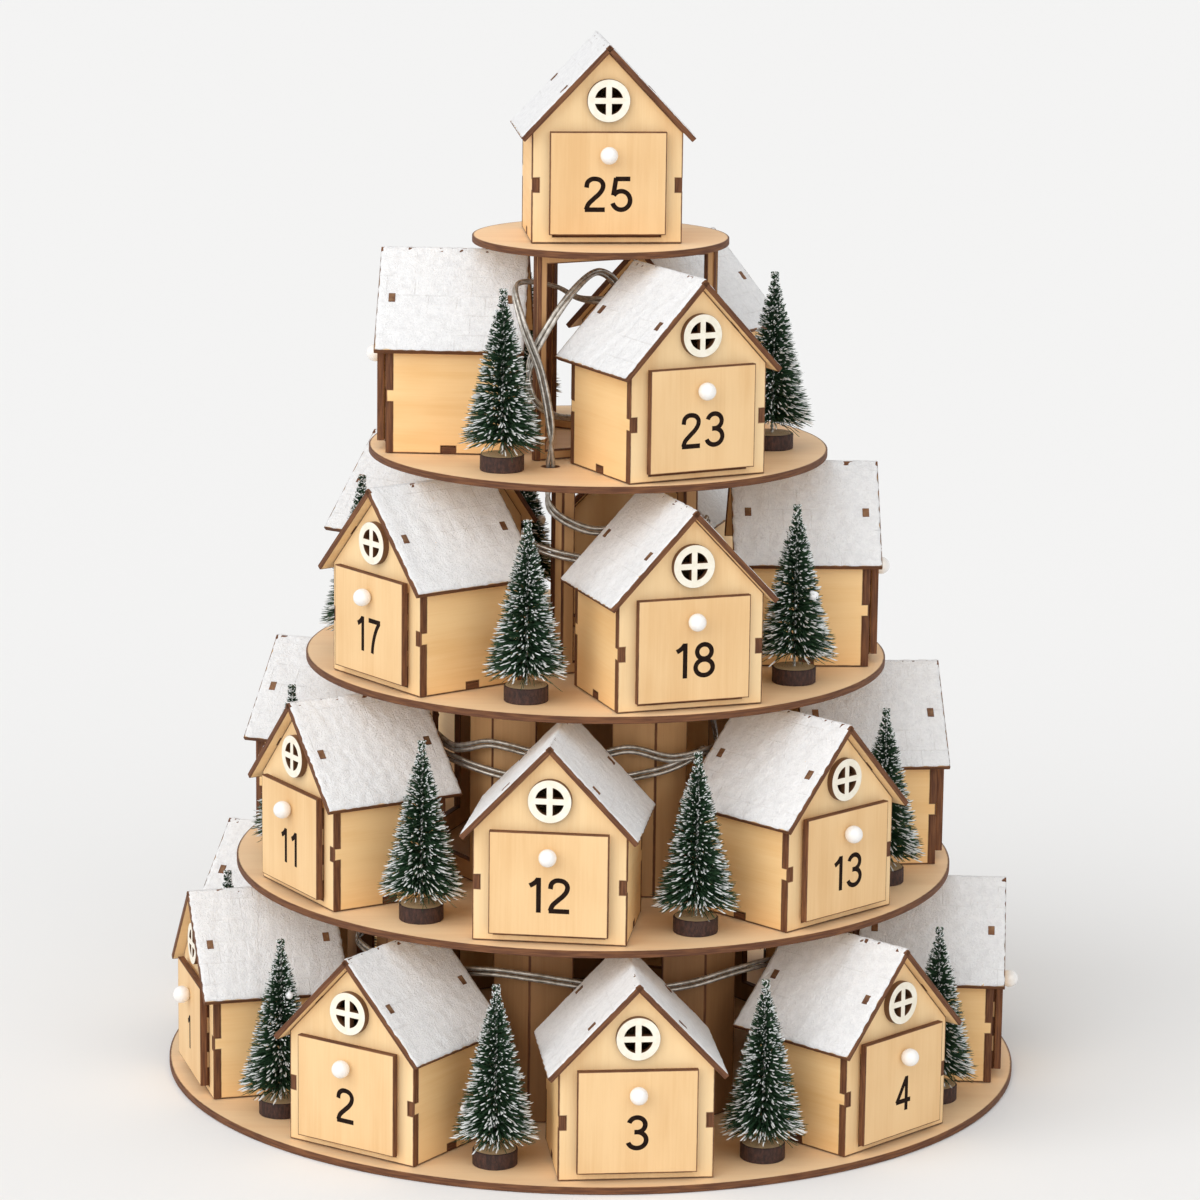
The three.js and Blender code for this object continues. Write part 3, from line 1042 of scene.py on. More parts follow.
@dataclass
class House:
    """One house with its drawer."""

    number: int
    spot: Spot
    palette: Palette
    sizes: HouseSizes = field(default_factory=HouseSizes)
    snow: SnowCrust = SnowCrust()

    def __post_init__(self) -> None:
        """Gives the house its own stretch of grain."""
        self.rng = np.random.default_rng(100 + self.number)
        self.label = f"{self.number:02d}"

    def build(self) -> None:
        """Makes and dresses every piece of the house and its drawer."""
        p, tower, drawer = self.palette, "tower", f"drawer_{self.label}_body"
        gables = self.add("house", "gables", self.gables(), p.ply, tower, Slot.HOUSE)
        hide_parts(f"house_{self.label}")
        # The side walls take the deeper orange birch, which is painted shade.
        self.add("house", "sides", self.sides(), p.wall, tower, Slot.HOUSE)
        self.add("house", "roof_boards", self.roof_boards(), p.ply, tower, Slot.HOUSE)
        self.add("house", "roof_snow", self.roof_snow(), p.snow, tower, Slot.SNOW, True)
        self.add("house", "window", self.window(), p.window, tower, Slot.WINDOW)
        box = self.add("drawer", "box", self.box(), p.drawer, drawer, Slot.DRAWER)
        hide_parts(f"drawer_{self.label}")
        self.add("drawer", "plate", self.plate(), p.drawer, drawer, Slot.DRAWER)
        self.add("drawer", "knob", self.knob(), p.knob, drawer, Slot.KNOB, True)
        self.add("drawer", "number", self.digits(), p.number, drawer, Slot.NUMBER)
        LOG.info("house %s at %.1f degrees", self.label, self.spot.angle)

    def add(
        self,
        group: str,
        part: str,
        surface: Surface,
        material: Finish,
        body: str,
        slot: Slot,
        smooth: bool = False,
    ) -> bpy.types.Object:
        """Places a piece at the house's spot under its own name."""
        name = f"{group}_{self.label}_{part}"
        return add_piece(name, surface.turned(self.spot), material, body, smooth)

    def gable(self) -> Array:
        """Outline of a gable wall with the notches for the side walls' tabs."""
        s = self.sizes
        right = [
            (s.half, 0.0),
            (s.half, s.tab_low),
            (s.half - s.sheet, s.tab_low),
            (s.half - s.sheet, s.tab_high),
            (s.half, s.tab_high),
            (s.half, s.corner_height),
        ]
        return np.insert(mirrored(right), len(right), (0.0, s.ridge_under), axis=0)

    def gables(self) -> Surface:
        """Front and back gables with the tabs that stand in the roof boards."""
        s, rng = self.sizes, self.rng
        top = s.sheet + s.seat_gap + s.box_height + s.slide_gap
        reach = s.box_width / 2 + s.slide_gap
        doorway = rectangle(-reach, s.sheet, reach, top)
        peephole = circle(s.peephole, 28, (0.0, s.window_height))
        front = cut_board(self.gable(), [doorway, peephole], s.sheet, rng)
        back = cut_board(self.gable(), [], s.sheet, rng)
        parts = [
            front.placed((0, s.sheet, 0), *FORWARDS),
            back.placed((0, s.depth - s.sheet, 0), *BACKWARDS),
        ]
        for side_sign in (-1, 1):
            for depth in (s.sheet / 2, s.depth - s.sheet / 2):
                parts.append(self.roof_tab(side_sign, depth))
        return Surface.joined(parts)

    def sides(self) -> Surface:
        """Two side walls with their tabs, and the floor board between them."""
        s, rng, parts = self.sizes, self.rng, []
        low, high = s.sheet, s.depth - s.sheet
        middle, slit = s.depth / 2, s.floor_tab / 2
        slot_top, tab_end = s.sheet + s.slot_play, s.depth - s.tab_short
        rear = [
            (middle + slit, slot_top),
            (middle + slit, 0),
            (high, 0),
            (high, s.tab_low),
            (tab_end, s.tab_low),
            (tab_end, s.tab_high),
            (high, s.tab_high),
            (high, s.corner_height),
        ]
        side = mirrored(rear, middle)
        thick = s.sheet - s.side_slack
        right = cut_board(side, [], thick, rng, upright=False)
        left = cut_board(side * [-1, 1], [], thick, rng, upright=False)
        parts.append(right.placed((s.half - s.sheet, 0, 0), *RIGHTWARDS))
        parts.append(left.placed((-s.half + s.sheet, 0, 0), *LEFTWARDS))
        inner = s.half - s.sheet
        edge, tab = s.half - s.floor_tab_short, slit - s.floor_tab_play
        right_rim = [
            (inner, low),
            (inner, middle - tab),
            (edge, middle - tab),
            (edge, middle + tab),
            (inner, middle + tab),
            (inner, high),
        ]
        floor = cut_board(mirrored(right_rim), [], s.sheet, rng)
        parts.append(floor.placed((0, 0, 0), *LEVEL))
        return Surface.joined(parts)

    def roof_axes(self, side: int) -> tuple[tuple, tuple, tuple]:
        """Origin at the eaves, direction along the ridge and direction up the slope."""
        s = self.sizes
        rise = (-side * math.cos(s.slope), 0.0, math.sin(s.slope))
        low_x = side * (s.eave_span - s.sheet * math.sin(s.slope))
        low_z = s.eave_top - s.sheet * math.cos(s.slope)
        start = -s.front_overhang if side > 0 else s.depth + s.back_overhang
        return (low_x, start, low_z), (0, side, 0), rise

    def roof_slot(self, side: int, depth: float, length: float, width: float) -> Array:
        """A slot half way up a roof board, above a gable at a depth into the house."""
        s = self.sizes
        along = depth + s.front_overhang if side > 0 else s.depth + s.back_overhang - depth
        middle = s.roof_fall / 2
        return rectangle(along - length / 2, middle - width / 2, along + length / 2, middle + width / 2)

    def roof_tab(self, side: int, depth: float) -> Surface:
        """A gable's tab, which ends flush in its slot of the roof board."""
        s = self.sizes
        block = self.roof_slot(side, depth, s.roof_tab_depth, s.roof_tab_width)
        board = cut_board(block, [], s.sheet, self.rng, edge=0.1, halo=0.2)
        board.char[:] = np.maximum(board.char, 0.55)
        return board.placed(*self.roof_axes(side))

    def roof_boards(self) -> Surface:
        """Two roof boards with slots, and fingers where they meet at the ridge."""
        s, parts = self.sizes, []
        for side in (-1, 1):
            high, low = s.roof_fall - s.ridge_sunk, s.roof_fall - s.ridge_bite
            top = comb(s.roof_length, s.ridge_fingers, high, low, side > 0)
            outline = np.concatenate([top[::-1], [(0.0, 0.0), (s.roof_length, 0.0)]])
            slots = [
                self.roof_slot(side, depth, s.roof_slot_depth, s.roof_slot_width)
                for depth in (s.sheet / 2, s.depth - s.sheet / 2)
            ]
            board = cut_board(outline, slots, s.sheet - s.snow, self.rng, upright=False)
            parts.append(board.placed(*self.roof_axes(side)))
        return Surface.joined(parts)

    def roof_snow(self) -> Surface:
        """A crust of snow on each of the two roof boards."""
        return Surface.joined([self.crust(side) for side in (-1, 1)])

    def crust(self, side: int) -> Surface:
        """The snow on one board: a grid whose height rolls and whose rim frays.

        Args:
            side: 1 for the right board, -1 for the left one.
        Returns:
            The closed crust, with a wall round its rim and a flat underside.
        """
        s, c, rng = self.sizes, self.snow, self.rng
        u, v = np.meshgrid(np.linspace(0, 1, c.columns), np.linspace(0, 1, c.rows), indexing="ij")
        frayed = c.fray + c.fray_swing * rolling(u * c.fray_span, v * c.fray_span, rng, c.fray_wave)
        fray = np.clip(frayed, c.least, c.fray_most)
        along = fray + u * (s.roof_length - 2 * fray)
        down = c.eave_gap + fray + v * (s.roof_fall - c.ridge_gap - 1.5 * fray)
        swell = c.height + c.swell * rolling(along, down, rng, c.swell_wave)
        height = swell + c.crumb * rolling(along, down, rng, c.crumb_wave)
        rim = np.minimum(np.minimum(u, 1 - u) * c.columns, np.minimum(v, 1 - v) * c.rows)
        near_ridge = np.exp(-((1 - v) * s.roof_fall / c.bare_fade) ** 2)
        patches = rolling(along, down, rng, c.bare_wave, c.bare_waves)
        bare = (patches > c.bare_above - c.bare_at_ridge * near_ridge).astype(float)
        lift = np.clip(height, c.least, s.snow - 0.02) * np.clip(rim / c.rim_rows, 0, 1) ** 0.5
        lift = lift * (1 - bare) - c.bare_dip * bare
        base = s.sheet - s.snow
        top = np.stack([along, down, base + lift + 0.01 * (rim > 0)], axis=-1).reshape(-1, 3)
        under = top * [1, 1, 0] + [0, 0, base - c.sunk]
        index = np.arange(c.columns * c.rows).reshape(c.columns, c.rows)
        ring = np.concatenate([index[:-1, 0], index[-1, :-1], index[:0:-1, -1], index[0, :0:-1]])
        number = len(top) + np.arange(len(ring))
        points = np.concatenate([top, under[ring]])
        walls = np.column_stack([number, np.roll(number, -1), np.roll(ring, -1), ring])
        bottom = number[::-1][None, :]
        grain = points + [rng.uniform(-3, 3), 2.0, self.number * 7.3]
        crust = Surface.of(points, [grid_faces(index), walls, bottom], 0.0, grain)
        return crust.placed(*self.roof_axes(side))

    def window(self) -> Surface:
        """The round window: a ring with a cross, glued over the peephole."""
        s = self.sizes
        bar = s.glazing_bar / 2
        start = math.asin(bar / s.glazed_radius)
        panes = []
        for quarter in range(4):
            rim = arc(s.glazed_radius, start, math.pi / 2 - start, 10)
            pane = np.concatenate([[(bar, bar)], rim])
            turn = quarter * math.pi / 2
            spin = np.array([[math.cos(turn), math.sin(turn)], [-math.sin(turn), math.cos(turn)]])
            panes.append(pane @ spin)
        ring = cut_board(circle(s.window_radius, 56), panes, s.sheet, self.rng, edge=0.12, halo=0.15)
        return ring.placed((0, 0, s.window_height), *FORWARDS)

    def box(self) -> Surface:
        """The drawer's box: front, back, sides and bottom, with fingers at the corners."""
        s, rng, sheet = self.sizes, self.rng, self.sizes.sheet
        half, front = s.box_width / 2, -s.plate_stand_off
        low = s.sheet + s.seat_gap
        back = front + s.box_length
        parts = []

        def wall(length: float, proud: bool) -> Array:
            """Outline of a wall whose two upright edges carry fingers."""
            teeth = comb(s.box_height, s.box_fingers, 0.0, sheet, proud)
            left = [(x, z) for z, x in teeth][::-1]
            right = [(length - x, z) for z, x in teeth]
            return np.array(right + left)

        for x, y, axes in ((-half, front + sheet, FORWARDS), (half, back - sheet, BACKWARDS)):
            board = cut_board(wall(s.box_width, True), [], sheet, rng)
            parts.append(board.placed((x, y, low), *axes))
        for x, y, axes in ((half - sheet, front, RIGHTWARDS), (-half + sheet, back, LEFTWARDS)):
            board = cut_board(wall(s.box_length, False), [], sheet, rng, upright=False)
            parts.append(board.placed((x, y, low), *axes))
        bottom = rectangle(-half + sheet, front + sheet, half - sheet, back - sheet)
        parts.append(cut_board(bottom, [], sheet, rng).placed((0, 0, low), *LEVEL))
        return Surface.joined(parts)

    def plate(self) -> Surface:
        """The square front plate, which stands a little off the wall."""
        s = self.sizes
        half = s.plate_width / 2
        outline = rectangle(-half, s.plate_lift, half, s.plate_lift + s.plate_height)
        board = cut_board(outline, [], s.sheet, self.rng, edge=0.2, halo=0.5)
        return board.placed((0, -s.plate_stand_off, 0), *FORWARDS)

    def knob(self) -> Surface:
        """A ball knob, flattened where it is glued: a half circle turned about its axis."""
        s = self.sizes
        start = -math.asin(s.knob_out / s.knob_radius)
        rim = arc(s.knob_radius, start, math.pi / 2, 15)
        profile = np.concatenate([[(0, rim[0, 1])], rim])
        profile[-1, 0] = 0.0
        out = -s.plate_stand_off - s.sheet - s.knob_out
        return turned_profile(profile, 32, 0.0).placed((0, out, s.knob_height), *FORWARDS)

    def digits(self) -> Surface:
        """The plain burnt number, its strokes a hair proud of the plate."""
        s, parts, start = self.sizes, [], 0.0
        for digit in str(self.number):
            for path, closed in DIGITS[digit].strokes():
                place = (path + [start, -0.5]) * s.digit_height
                parts.append(ribbon(place, s.digit_stroke, 0.04 + 0.004 * len(parts), closed))
            start += DIGITS[digit].advance
        surface = Surface.joined(parts)
        surface.points[:, 0] -= (start - DIGIT_SPACE) * s.digit_height / 2
        out = -s.plate_stand_off - s.sheet + 0.01
        return surface.placed((0, out, s.digit_middle), *FORWARDS)


@dataclass
class Tree:
    """A bottle-brush tree on its slice of branch."""

    name: str
    spot: Spot
    seed: int
    palette: Palette
    slice_radius: float = 9.65
    slice_height: float = 7.0
    height: float = 80.0
    reach: float = 19.8
    brush_low: float = 12.6
    bare_tip: float = 1.5
    strands: int = 3300
    row: float = 3.3
    row_spread: float = 0.42
    crowding: float = 1.25
    shortest: float = 1.6
    steepest: float = 44.0
    droop: float = 1.0
    tilt_spread: float = 5.5
    thin: float = 0.17
    bend: float = 0.66
    frost_start: float = 0.93
    hub: float = 0.3
    top_gap: float = 1.0
    arch: float = 0.06
    sway: float = 0.07
    kink: float = 0.03
    wire: float = 0.44
    wire_out: float = 0.42
    wire_pitch: float = 3.6

    def build(self) -> None:
        """Makes and dresses the slice, the stem, the brush and its tufts of snow."""
        p = self.palette
        self.rng = np.random.default_rng(900 + self.seed)
        self.add("slice", self.slice(), p.slice, Slot.SLICE, False)
        self.add("stem", self.stem(), p.stem, Slot.STEM, True)
        self.add("brush", self.brush(), p.bristle, Slot.BRISTLE, False)
        tufts = int(self.rng.choice([0, 0, 1, 2]))
        if tufts:
            self.add("tufts", self.tufts(tufts), p.flock, Slot.SNOW, True)
        LOG.info("tree %s", self.name)

    def add(
        self, part: str, surface: Surface, material: Finish, slot: Slot, smooth: bool
    ) -> None:
        """Places a piece at the tree's spot under its own name."""
        add_piece(f"{self.name}_{part}", surface.turned(self.spot), material, "tower", smooth)

    def slice(self) -> Surface:
        """A low round block with a softened rim and a slightly uneven bark."""
        r, h, soft = self.slice_radius, self.slice_height, 0.35
        side = [(r, soft), (r, h * 0.5), (r, h - soft)]
        profile = np.array([(0, 0), (r - soft, 0), *side, (r - soft, h), (r - 1.0, h), (0, h)])
        char = np.array([1, 1, 1, 1, 1, 0.9, 0.0, 0.0])
        block = turned_profile(profile, 52, char)
        x, y = block.points[:, 0], block.points[:, 1]
        bend = 1 + 0.012 * rolling(x, y, self.rng, 9.0) * (np.hypot(x, y) > r - 1.5)
        block.points[:, :2] *= np.minimum(bend, 1.0)[:, None]
        block.grain = block.points + [self.rng.uniform(-1.5, 1.5), self.rng.uniform(-1.5, 1.5), 0]
        return block

    def stem(self) -> Surface:
        """Two wires wound round each other: two helices half a turn apart."""
        height = np.linspace(self.slice_height - 0.4, self.height - 0.8, 120)
        turn = 2 * math.pi * height / self.wire_pitch
        wires = []
        for phase in (0.0, math.pi):
            x, y = self.wire_out * np.cos(turn + phase), self.wire_out * np.sin(turn + phase)
            wires.append(tube(np.column_stack([x, y, height]), self.wire, 6))
        return Surface.joined(wires)

    def outline(self, share: Array) -> Array:
        """Reach of the brush at a share of its height, full below and rounded to the tip."""
        return self.reach * ((1 - share) ** 0.96 * 0.93 + 0.07 * np.exp(-((share / 0.13) ** 2)))

    def brush(self) -> Surface:
        """Bristles in wound rows: thin three-sided spikes, bent a little, frosted outwards."""
        rng, n = self.rng, self.strands
        span = self.height - self.bare_tip - self.brush_low
        share = rng.uniform(0, 1, n) ** self.crowding
        angle = rng.uniform(0, 2 * math.pi, n)
        part_turn = angle / (2 * math.pi)
        wound = (np.round(share * span / self.row - part_turn) + part_turn) * self.row
        foot_high = np.clip(wound + rng.normal(0, self.row_spread, n), 0, span) + self.brush_low
        share = (foot_high - self.brush_low) / span
        reach = np.maximum(self.outline(share) * rng.uniform(0.80, 1.0, n), self.shortest)
        tilt = self.steepest * share - self.droop + rng.normal(0, self.tilt_spread, n)
        rise = np.tan(np.radians(tilt))
        sway = rng.normal(0, self.sway, n)
        heading = np.column_stack([np.cos(angle), np.sin(angle), np.zeros(n)])
        aside = np.column_stack([-np.sin(angle), np.cos(angle), np.zeros(n)])
        foot = np.column_stack([np.zeros(n), np.zeros(n), foot_high]) + heading * self.hub
        lift = np.minimum(rise * reach, self.height - self.top_gap - foot_high)
        tip = foot + heading * reach[:, None] + aside * (sway * reach)[:, None]
        tip[:, 2] += lift
        middle = foot + (tip - foot) * self.bend
        middle[:, 2] += self.arch * reach
        middle += aside * (rng.normal(0, self.kink, n) * reach)[:, None]
        frosted = rng.uniform(0, 1, n)
        heavy = np.clip((frosted - 0.60) / 0.3, 0.0, 1.0)
        mid = self.thin * (1 + heavy)
        direction = (tip - foot) / np.linalg.norm(tip - foot, axis=1)[:, None]
        second = np.cross(direction, aside)
        ring = rings_round(aside, second, 3)
        low = foot[:, None] + ring * self.thin
        mids = middle[:, None] + ring * mid[:, None, None]
        near_size = (0.90 * mid + 0.02 * heavy)[:, None, None]
        near = (foot + (tip - foot) * self.frost_start)[:, None] + ring * near_size
        strands = np.concatenate([low, mids, near, tip[:, None]], axis=1)
        points = strands.reshape(-1, 3)
        base = (np.arange(n) * strands.shape[1])[:, None]
        sides = ((0, 1), (1, 2), (2, 0))
        quads = [
            base + ring_start + [a, b, b + 3, a + 3] for ring_start in (0, 3) for a, b in sides
        ]
        tips = [base + [6 + a, 6 + b, 9] for a, b in sides]
        foot_faces = base + [2, 1, 0]
        middle_frost = np.repeat((0.02 + 0.24 * heavy)[:, None], 3, 1)
        end_frost = np.repeat((0.20 + 0.60 * heavy + 0.22 * frosted)[:, None], 4, 1)
        frost = np.column_stack([np.zeros((n, 3)), middle_frost, end_frost]).ravel()
        faces = [np.concatenate(quads), np.concatenate(tips), foot_faces]
        return Surface.of(points, faces, frost, points + rng.uniform(-50, 50, 3))

    def tufts(self, count: int) -> Surface:
        """Some balls of snow resting on the bristles, each a lumpy sphere."""
        rng, parts = self.rng, []
        for _ in range(count):
            share = rng.uniform(0.08, 0.62)
            angle = rng.uniform(0, 2 * math.pi)
            size = rng.uniform(1.5, 2.7)
            tuft = ball(size, 15, 20)
            x, y, z = tuft.points.T
            lump = 1 + 0.10 * rolling(x + 3 * z, y - 2 * z, rng, 3.2)
            out = self.outline(np.array(share)) * 0.80
            high = self.brush_low + share * (self.height - self.brush_low) + 2
            shift = [out * math.cos(angle), out * math.sin(angle), high]
            tuft.points = tuft.points * lump[:, None] + shift
            parts.append(tuft)
        return Surface.joined(parts)


@dataclass
class TowerSizes:
    """Sizes of the tower; each list goes from the base tier to the top one."""

    house: HouseSizes = field(default_factory=HouseSizes)
    sheet: float = 3.0
    pitch: float = 94.0
    disc_radii: tuple[float, ...] = (193.0, 162.0, 130.5, 102.5, 57.0)
    houses: tuple[int, ...] = (9, 7, 5, 3, 1)
    first_angles: tuple[float, ...] = (-73.8, -109.7, -52.3, -92.4, 5.4)
    front_margin: float = 10.0
    tree_margin: float = 25.0
    seat_gap: float = 0.3
    core_set_in: tuple[float, ...] = (16.0, 16.0, 16.0, 5.0)
    post_widths: tuple[float, ...] = (36.0, 36.0, 7.0, 2.0)
    rails: tuple[float, ...] = (9.0, 9.0, 5.0, 4.0)
    string_radius: float = 1.0
    string_lift: float = 66.0
    string_clearance: float = 3.9
    string_hole: float = 3.5
    lamp_radius: float = 2.4
    case: tuple[float, float, float] = (66.0, 34.0, 16.0)

    def top(self, tier: int) -> float:
        """Height of a floor's upper face."""
        return self.sheet + tier * self.pitch

    def house_angle(self, tier: int, place: int) -> float:
        """Direction of a house."""
        return self.first_angles[tier] + 360 / self.houses[tier] * place

    def gap_angle(self, tier: int, place: int) -> float:
        """Direction of the gap after a house."""
        return self.house_angle(tier, place) + 180 / self.houses[tier]

    def is_top(self, tier: int) -> bool:
        """Whether a tier is the top one."""
        return tier == len(self.houses) - 1

    def face_radius(self, tier: int) -> float:
        """Distance of the houses' front walls from the axis."""
        return self.house.depth / 2 if self.is_top(tier) else self.disc_radii[tier] - self.front_margin

    def roof_back(self, tier: int) -> float:
        """Distance of the roofs' back edges from the axis."""
        return self.face_radius(tier) - self.house.depth - self.house.back_overhang

    def core_out(self, tier: int) -> float:
        """Distance of the core boards' outer faces from the axis."""
        return self.roof_back(tier) - self.core_set_in[tier]

    def core_in(self, tier: int) -> float:
        """Distance of the core boards' inner faces from the axis."""
        return self.core_out(tier) - self.sheet

    def core_corner(self, tier: int) -> float:
        """Distance of the core's outer corners from the axis."""
        return self.core_out(tier) / math.cos(math.pi / self.houses[tier])

    def string_ring(self, tier: int) -> float:
        """Radius at which the light string runs round the core."""
        return self.roof_back(tier) - self.string_clearance

    def string_holes(self) -> dict[int, tuple[float, float]]:
        """Radius and angle of the hole for the light string in each floor that has one."""
        return {
            1: ((self.core_corner(1) + self.core_in(0)) / 2, self.gap_angle(1, 0)),
            2: ((self.core_corner(2) + self.core_in(1)) / 2, self.gap_angle(2, 1)),
            3: (self.string_ring(2) + 4, self.gap_angle(2, 0) - 4),
        }


@dataclass
class Tower:
    """Floors, core boards and light string."""

    palette: Palette
    sizes: TowerSizes = field(default_factory=TowerSizes)

    def __post_init__(self) -> None:
        """Gives the boards their own stretches of grain."""
        self.rng = np.random.default_rng(7)

    def build(self) -> None:
        """Makes the floors and the core from the base up, then the light string."""
        for tier in range(len(self.sizes.houses)):
            self.build_floor(tier)
            if not self.sizes.is_top(tier):
                self.build_core(tier)
        self.build_string()

    def build_floor(self, tier: int) -> None:
        """A round floor, with its hole for the light string."""
        s = self.sizes
        holes = []
        if tier in s.string_holes():
            radius, angle = s.string_holes()[tier]
            turn = math.radians(angle)
            holes.append(circle(s.string_hole, 24, (radius * math.sin(turn), -radius * math.cos(turn))))
        steps = 192 if tier < 3 else 144
        outline = circle(s.disc_radii[tier], steps)
        board = cut_board(outline, holes, s.sheet, self.rng, edge=0.25, halo=1.1, upright=False)
        board = board.placed((0, 0, s.top(tier) - s.sheet), *LEVEL)
        name = f"tier_{tier + 1}_floor"
        piece = add_piece(name, board, self.palette.floor, "tower")
        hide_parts(f"tier_{tier + 1}_disc")
        LOG.info("%s", name)

    def build_core(self, tier: int) -> None:
        """The upright boards of a storey, one behind each house, each with its opening."""
        s, parts = self.sizes, []
        low = s.top(tier) + s.seat_gap
        high = s.top(tier + 1) - s.sheet - s.seat_gap
        half_turn = math.pi / s.houses[tier]
        half = (s.core_out(tier) - 0.4) * math.tan(half_turn)
        opening = s.core_in(tier) * math.tan(half_turn) - s.post_widths[tier] / 2
        for place in range(s.houses[tier]):
            outline = rectangle(-half, low, half, high)
            gap = rectangle(-opening, low + s.rails[tier], opening, high - s.rails[tier])
            board = cut_board(outline, [gap], s.sheet, self.rng)
            board = board.placed((0, s.sheet, 0), *FORWARDS)
            parts.append(board.turned(Spot(s.house_angle(tier, place), s.core_out(tier), 0.0)))
        name = f"core_frame_{tier + 1}_boards"
        # Core boards are painted dark brown as painted shade, and the base tier's boards darker still.
        finish = self.palette.core if tier else self.palette.low_core
        piece = add_piece(name, Surface.joined(parts), finish, "tower")
        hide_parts(f"core_frame_{tier + 1}")
        LOG.info("%s", name)

    def string_route(self) -> Array:
        """Knots of the light string: case, ring round each core, hole by hole to the top."""
        s = self.sizes
        route: list[Array] = []

        def at(tier: int, radius: float, angle: float, lift: float) -> None:
            """Adds a knot."""
            turn = math.radians(angle)
            route.append(
                np.array([radius * math.sin(turn), -radius * math.cos(turn), s.top(tier) + lift])
            )

        def sweep(tier: int, start: float, stop: float) -> None:
            """Adds the knots of an arc round the core, sagging between its supports."""
            count = round(abs(stop - start) / 14)
            for i in range(count + 1):
                share = i / count
                sag = 3 * math.sin(share * math.pi * 6)
                at(tier, s.string_ring(tier), start + (stop - start) * share, s.string_lift + sag)

        def through(tier: int) -> None:
            """Adds the knots on the way up through a floor."""
            radius, angle = s.string_holes()[tier]
            at(tier, radius, angle, -18)
            at(tier, radius, angle, -s.sheet / 2)
            at(tier, radius, angle, 16)

        at(0, 0, 0, s.seat_gap + s.case[2] - 0.5)
        at(0, 0, 0, 30)
        at(0, 40, s.house_angle(0, 5), 44)
        at(0, s.core_in(0) - 10, s.house_angle(0, 5), 46)
        at(0, s.string_ring(0) - 6, s.house_angle(0, 5) - 2, 50)
        sweep(0, s.house_angle(0, 5) - 12, s.house_angle(0, 0) + 12)
        at(0, s.core_in(0) + 2, s.house_angle(0, 0), s.string_lift)
        through(1)
        at(1, s.string_ring(1) + 3, s.gap_angle(1, 0) + 3, 44)
        sweep(1, s.gap_angle(1, 0) + 12, s.house_angle(1, 3) - 8)
        at(1, s.core_in(1) + 2, s.house_angle(1, 3) + 2, s.string_lift)
        through(2)
        at(2, s.string_ring(2) + 2, s.gap_angle(2, 1) - 3, 44)
        sweep(2, s.gap_angle(2, 1) - 14, s.gap_angle(2, 0) + 12)
        through(3)
        at(3, s.core_corner(3) + 4, s.gap_angle(3, 0) + 6, 40)
        at(3, s.core_corner(3) + 4, s.gap_angle(3, 0) - 4, 62)
        at(3, s.core_corner(3) - 4, s.gap_angle(3, 0) - 16, 76)
        return np.array(route)

    def pair(self, path: Array) -> Surface:
        """Two clear tubes side by side along a path, one above the other where it runs level."""
        forward = np.gradient(path, axis=0)
        outward = path * [1, 1, 0] + [1e-6, 0, 0]
        apart = np.cross(forward / np.linalg.norm(forward, axis=1)[:, None], outward)
        weight = np.linalg.norm(apart, axis=1)[:, None] / np.linalg.norm(outward, axis=1)[:, None]
        apart = apart / (np.linalg.norm(apart, axis=1)[:, None] + 1e-9)
        apart = np.where(apart[:, 2:] < 0, -apart, apart) * np.clip(weight, 0, 1)
        smooth = np.ones(9) / 9
        padded = np.pad(apart, ((4, 4), (0, 0)), mode="edge")
        apart = np.column_stack([np.convolve(padded[:, axis], smooth, "valid") for axis in range(3)])
        reach = self.sizes.string_radius * 1.15
        return Surface.joined(
            [tube(path + apart * reach * sign, self.sizes.string_radius, 12) for sign in (-1, 1)]
        )

    def upper_loop(self) -> Array:
        """Knots through the fourth core, over its front board, and down into a slack loop."""
        inside = ((-19.6, -14.2, 73), (-9, -8, 67), (2, -6, 66), (8, -10, 69), (6, -15, 76))
        over = ((-1, -23, 81), (-10, -35, 76))
        beside = ((-22, -45, 60), (-30, -48, 43), (-29, -48, 29), (-20, -45, 21))
        behind = ((-10, -33, 17), (-2, -27, 10), (4, -24, 5))
        return np.array(inside + over + beside + behind, float) + [0, 0, self.sizes.top(3)]

    def ring_loop(self, tier: int, low: float, start: float, stop: float) -> Array:
        """Knots of a slack second turn round the core, which leaves and rejoins the first."""
        s = self.sizes
        share = np.linspace(0, 1, 10)
        turn = np.radians(start + (stop - start) * share)
        ends = (2 * share - 1) ** 4
        lift = low + (s.string_lift - low) * ends + 1.5 * np.sin(9 * share) * (1 - ends)
        radius = s.string_ring(tier)
        return np.column_stack([radius * np.sin(turn), -radius * np.cos(turn), s.top(tier) + lift])

    def build_string(self) -> None:
        """The clear cord with its last lamp, and the battery case it starts from."""
        s, p = self.sizes, self.palette
        knots = np.concatenate([self.string_route(), self.upper_loop()])
        loops = [self.pair(smooth_path(knots, 10))]
        for loop in (self.ring_loop(2, 53.0, -48.0, 62.0), self.ring_loop(1, 55.0, -64.0, 34.0)):
            loops.append(self.pair(smooth_path(loop, 12)))
        lamp = ball(s.lamp_radius, 12, 20)
        lamp.points = lamp.points + knots[-1]
        piece = add_piece(
            "light_string_cord", Surface.joined(loops + [lamp]), p.string, "tower", True
        )
        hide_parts("light_string")
        length, width, height = s.case
        outline = rounded(length, width, 4.0)
        shell = cut_board(outline, [], height, self.rng, edge=1.2, halo=1.0)
        shell.char[:] = 0.0
        shell = shell.placed((0, 0, s.top(0) + s.seat_gap), *LEVEL)
        add_piece("light_string_case", shell, p.case, "tower")
        LOG.info("light string")


def rounded(length: float, width: float, radius: float) -> Array:
    """Outline of a rectangle with round corners, about zero."""
    corners = []
    for quarter, (x, y) in enumerate(((1, 1), (-1, 1), (-1, -1), (1, -1))):
        centre = np.array([x * (length / 2 - radius), y * (width / 2 - radius)])
        start = quarter * math.pi / 2
        corners.append(arc(radius, start, start + math.pi / 2, 8) + centre)
    return np.concatenate(corners)


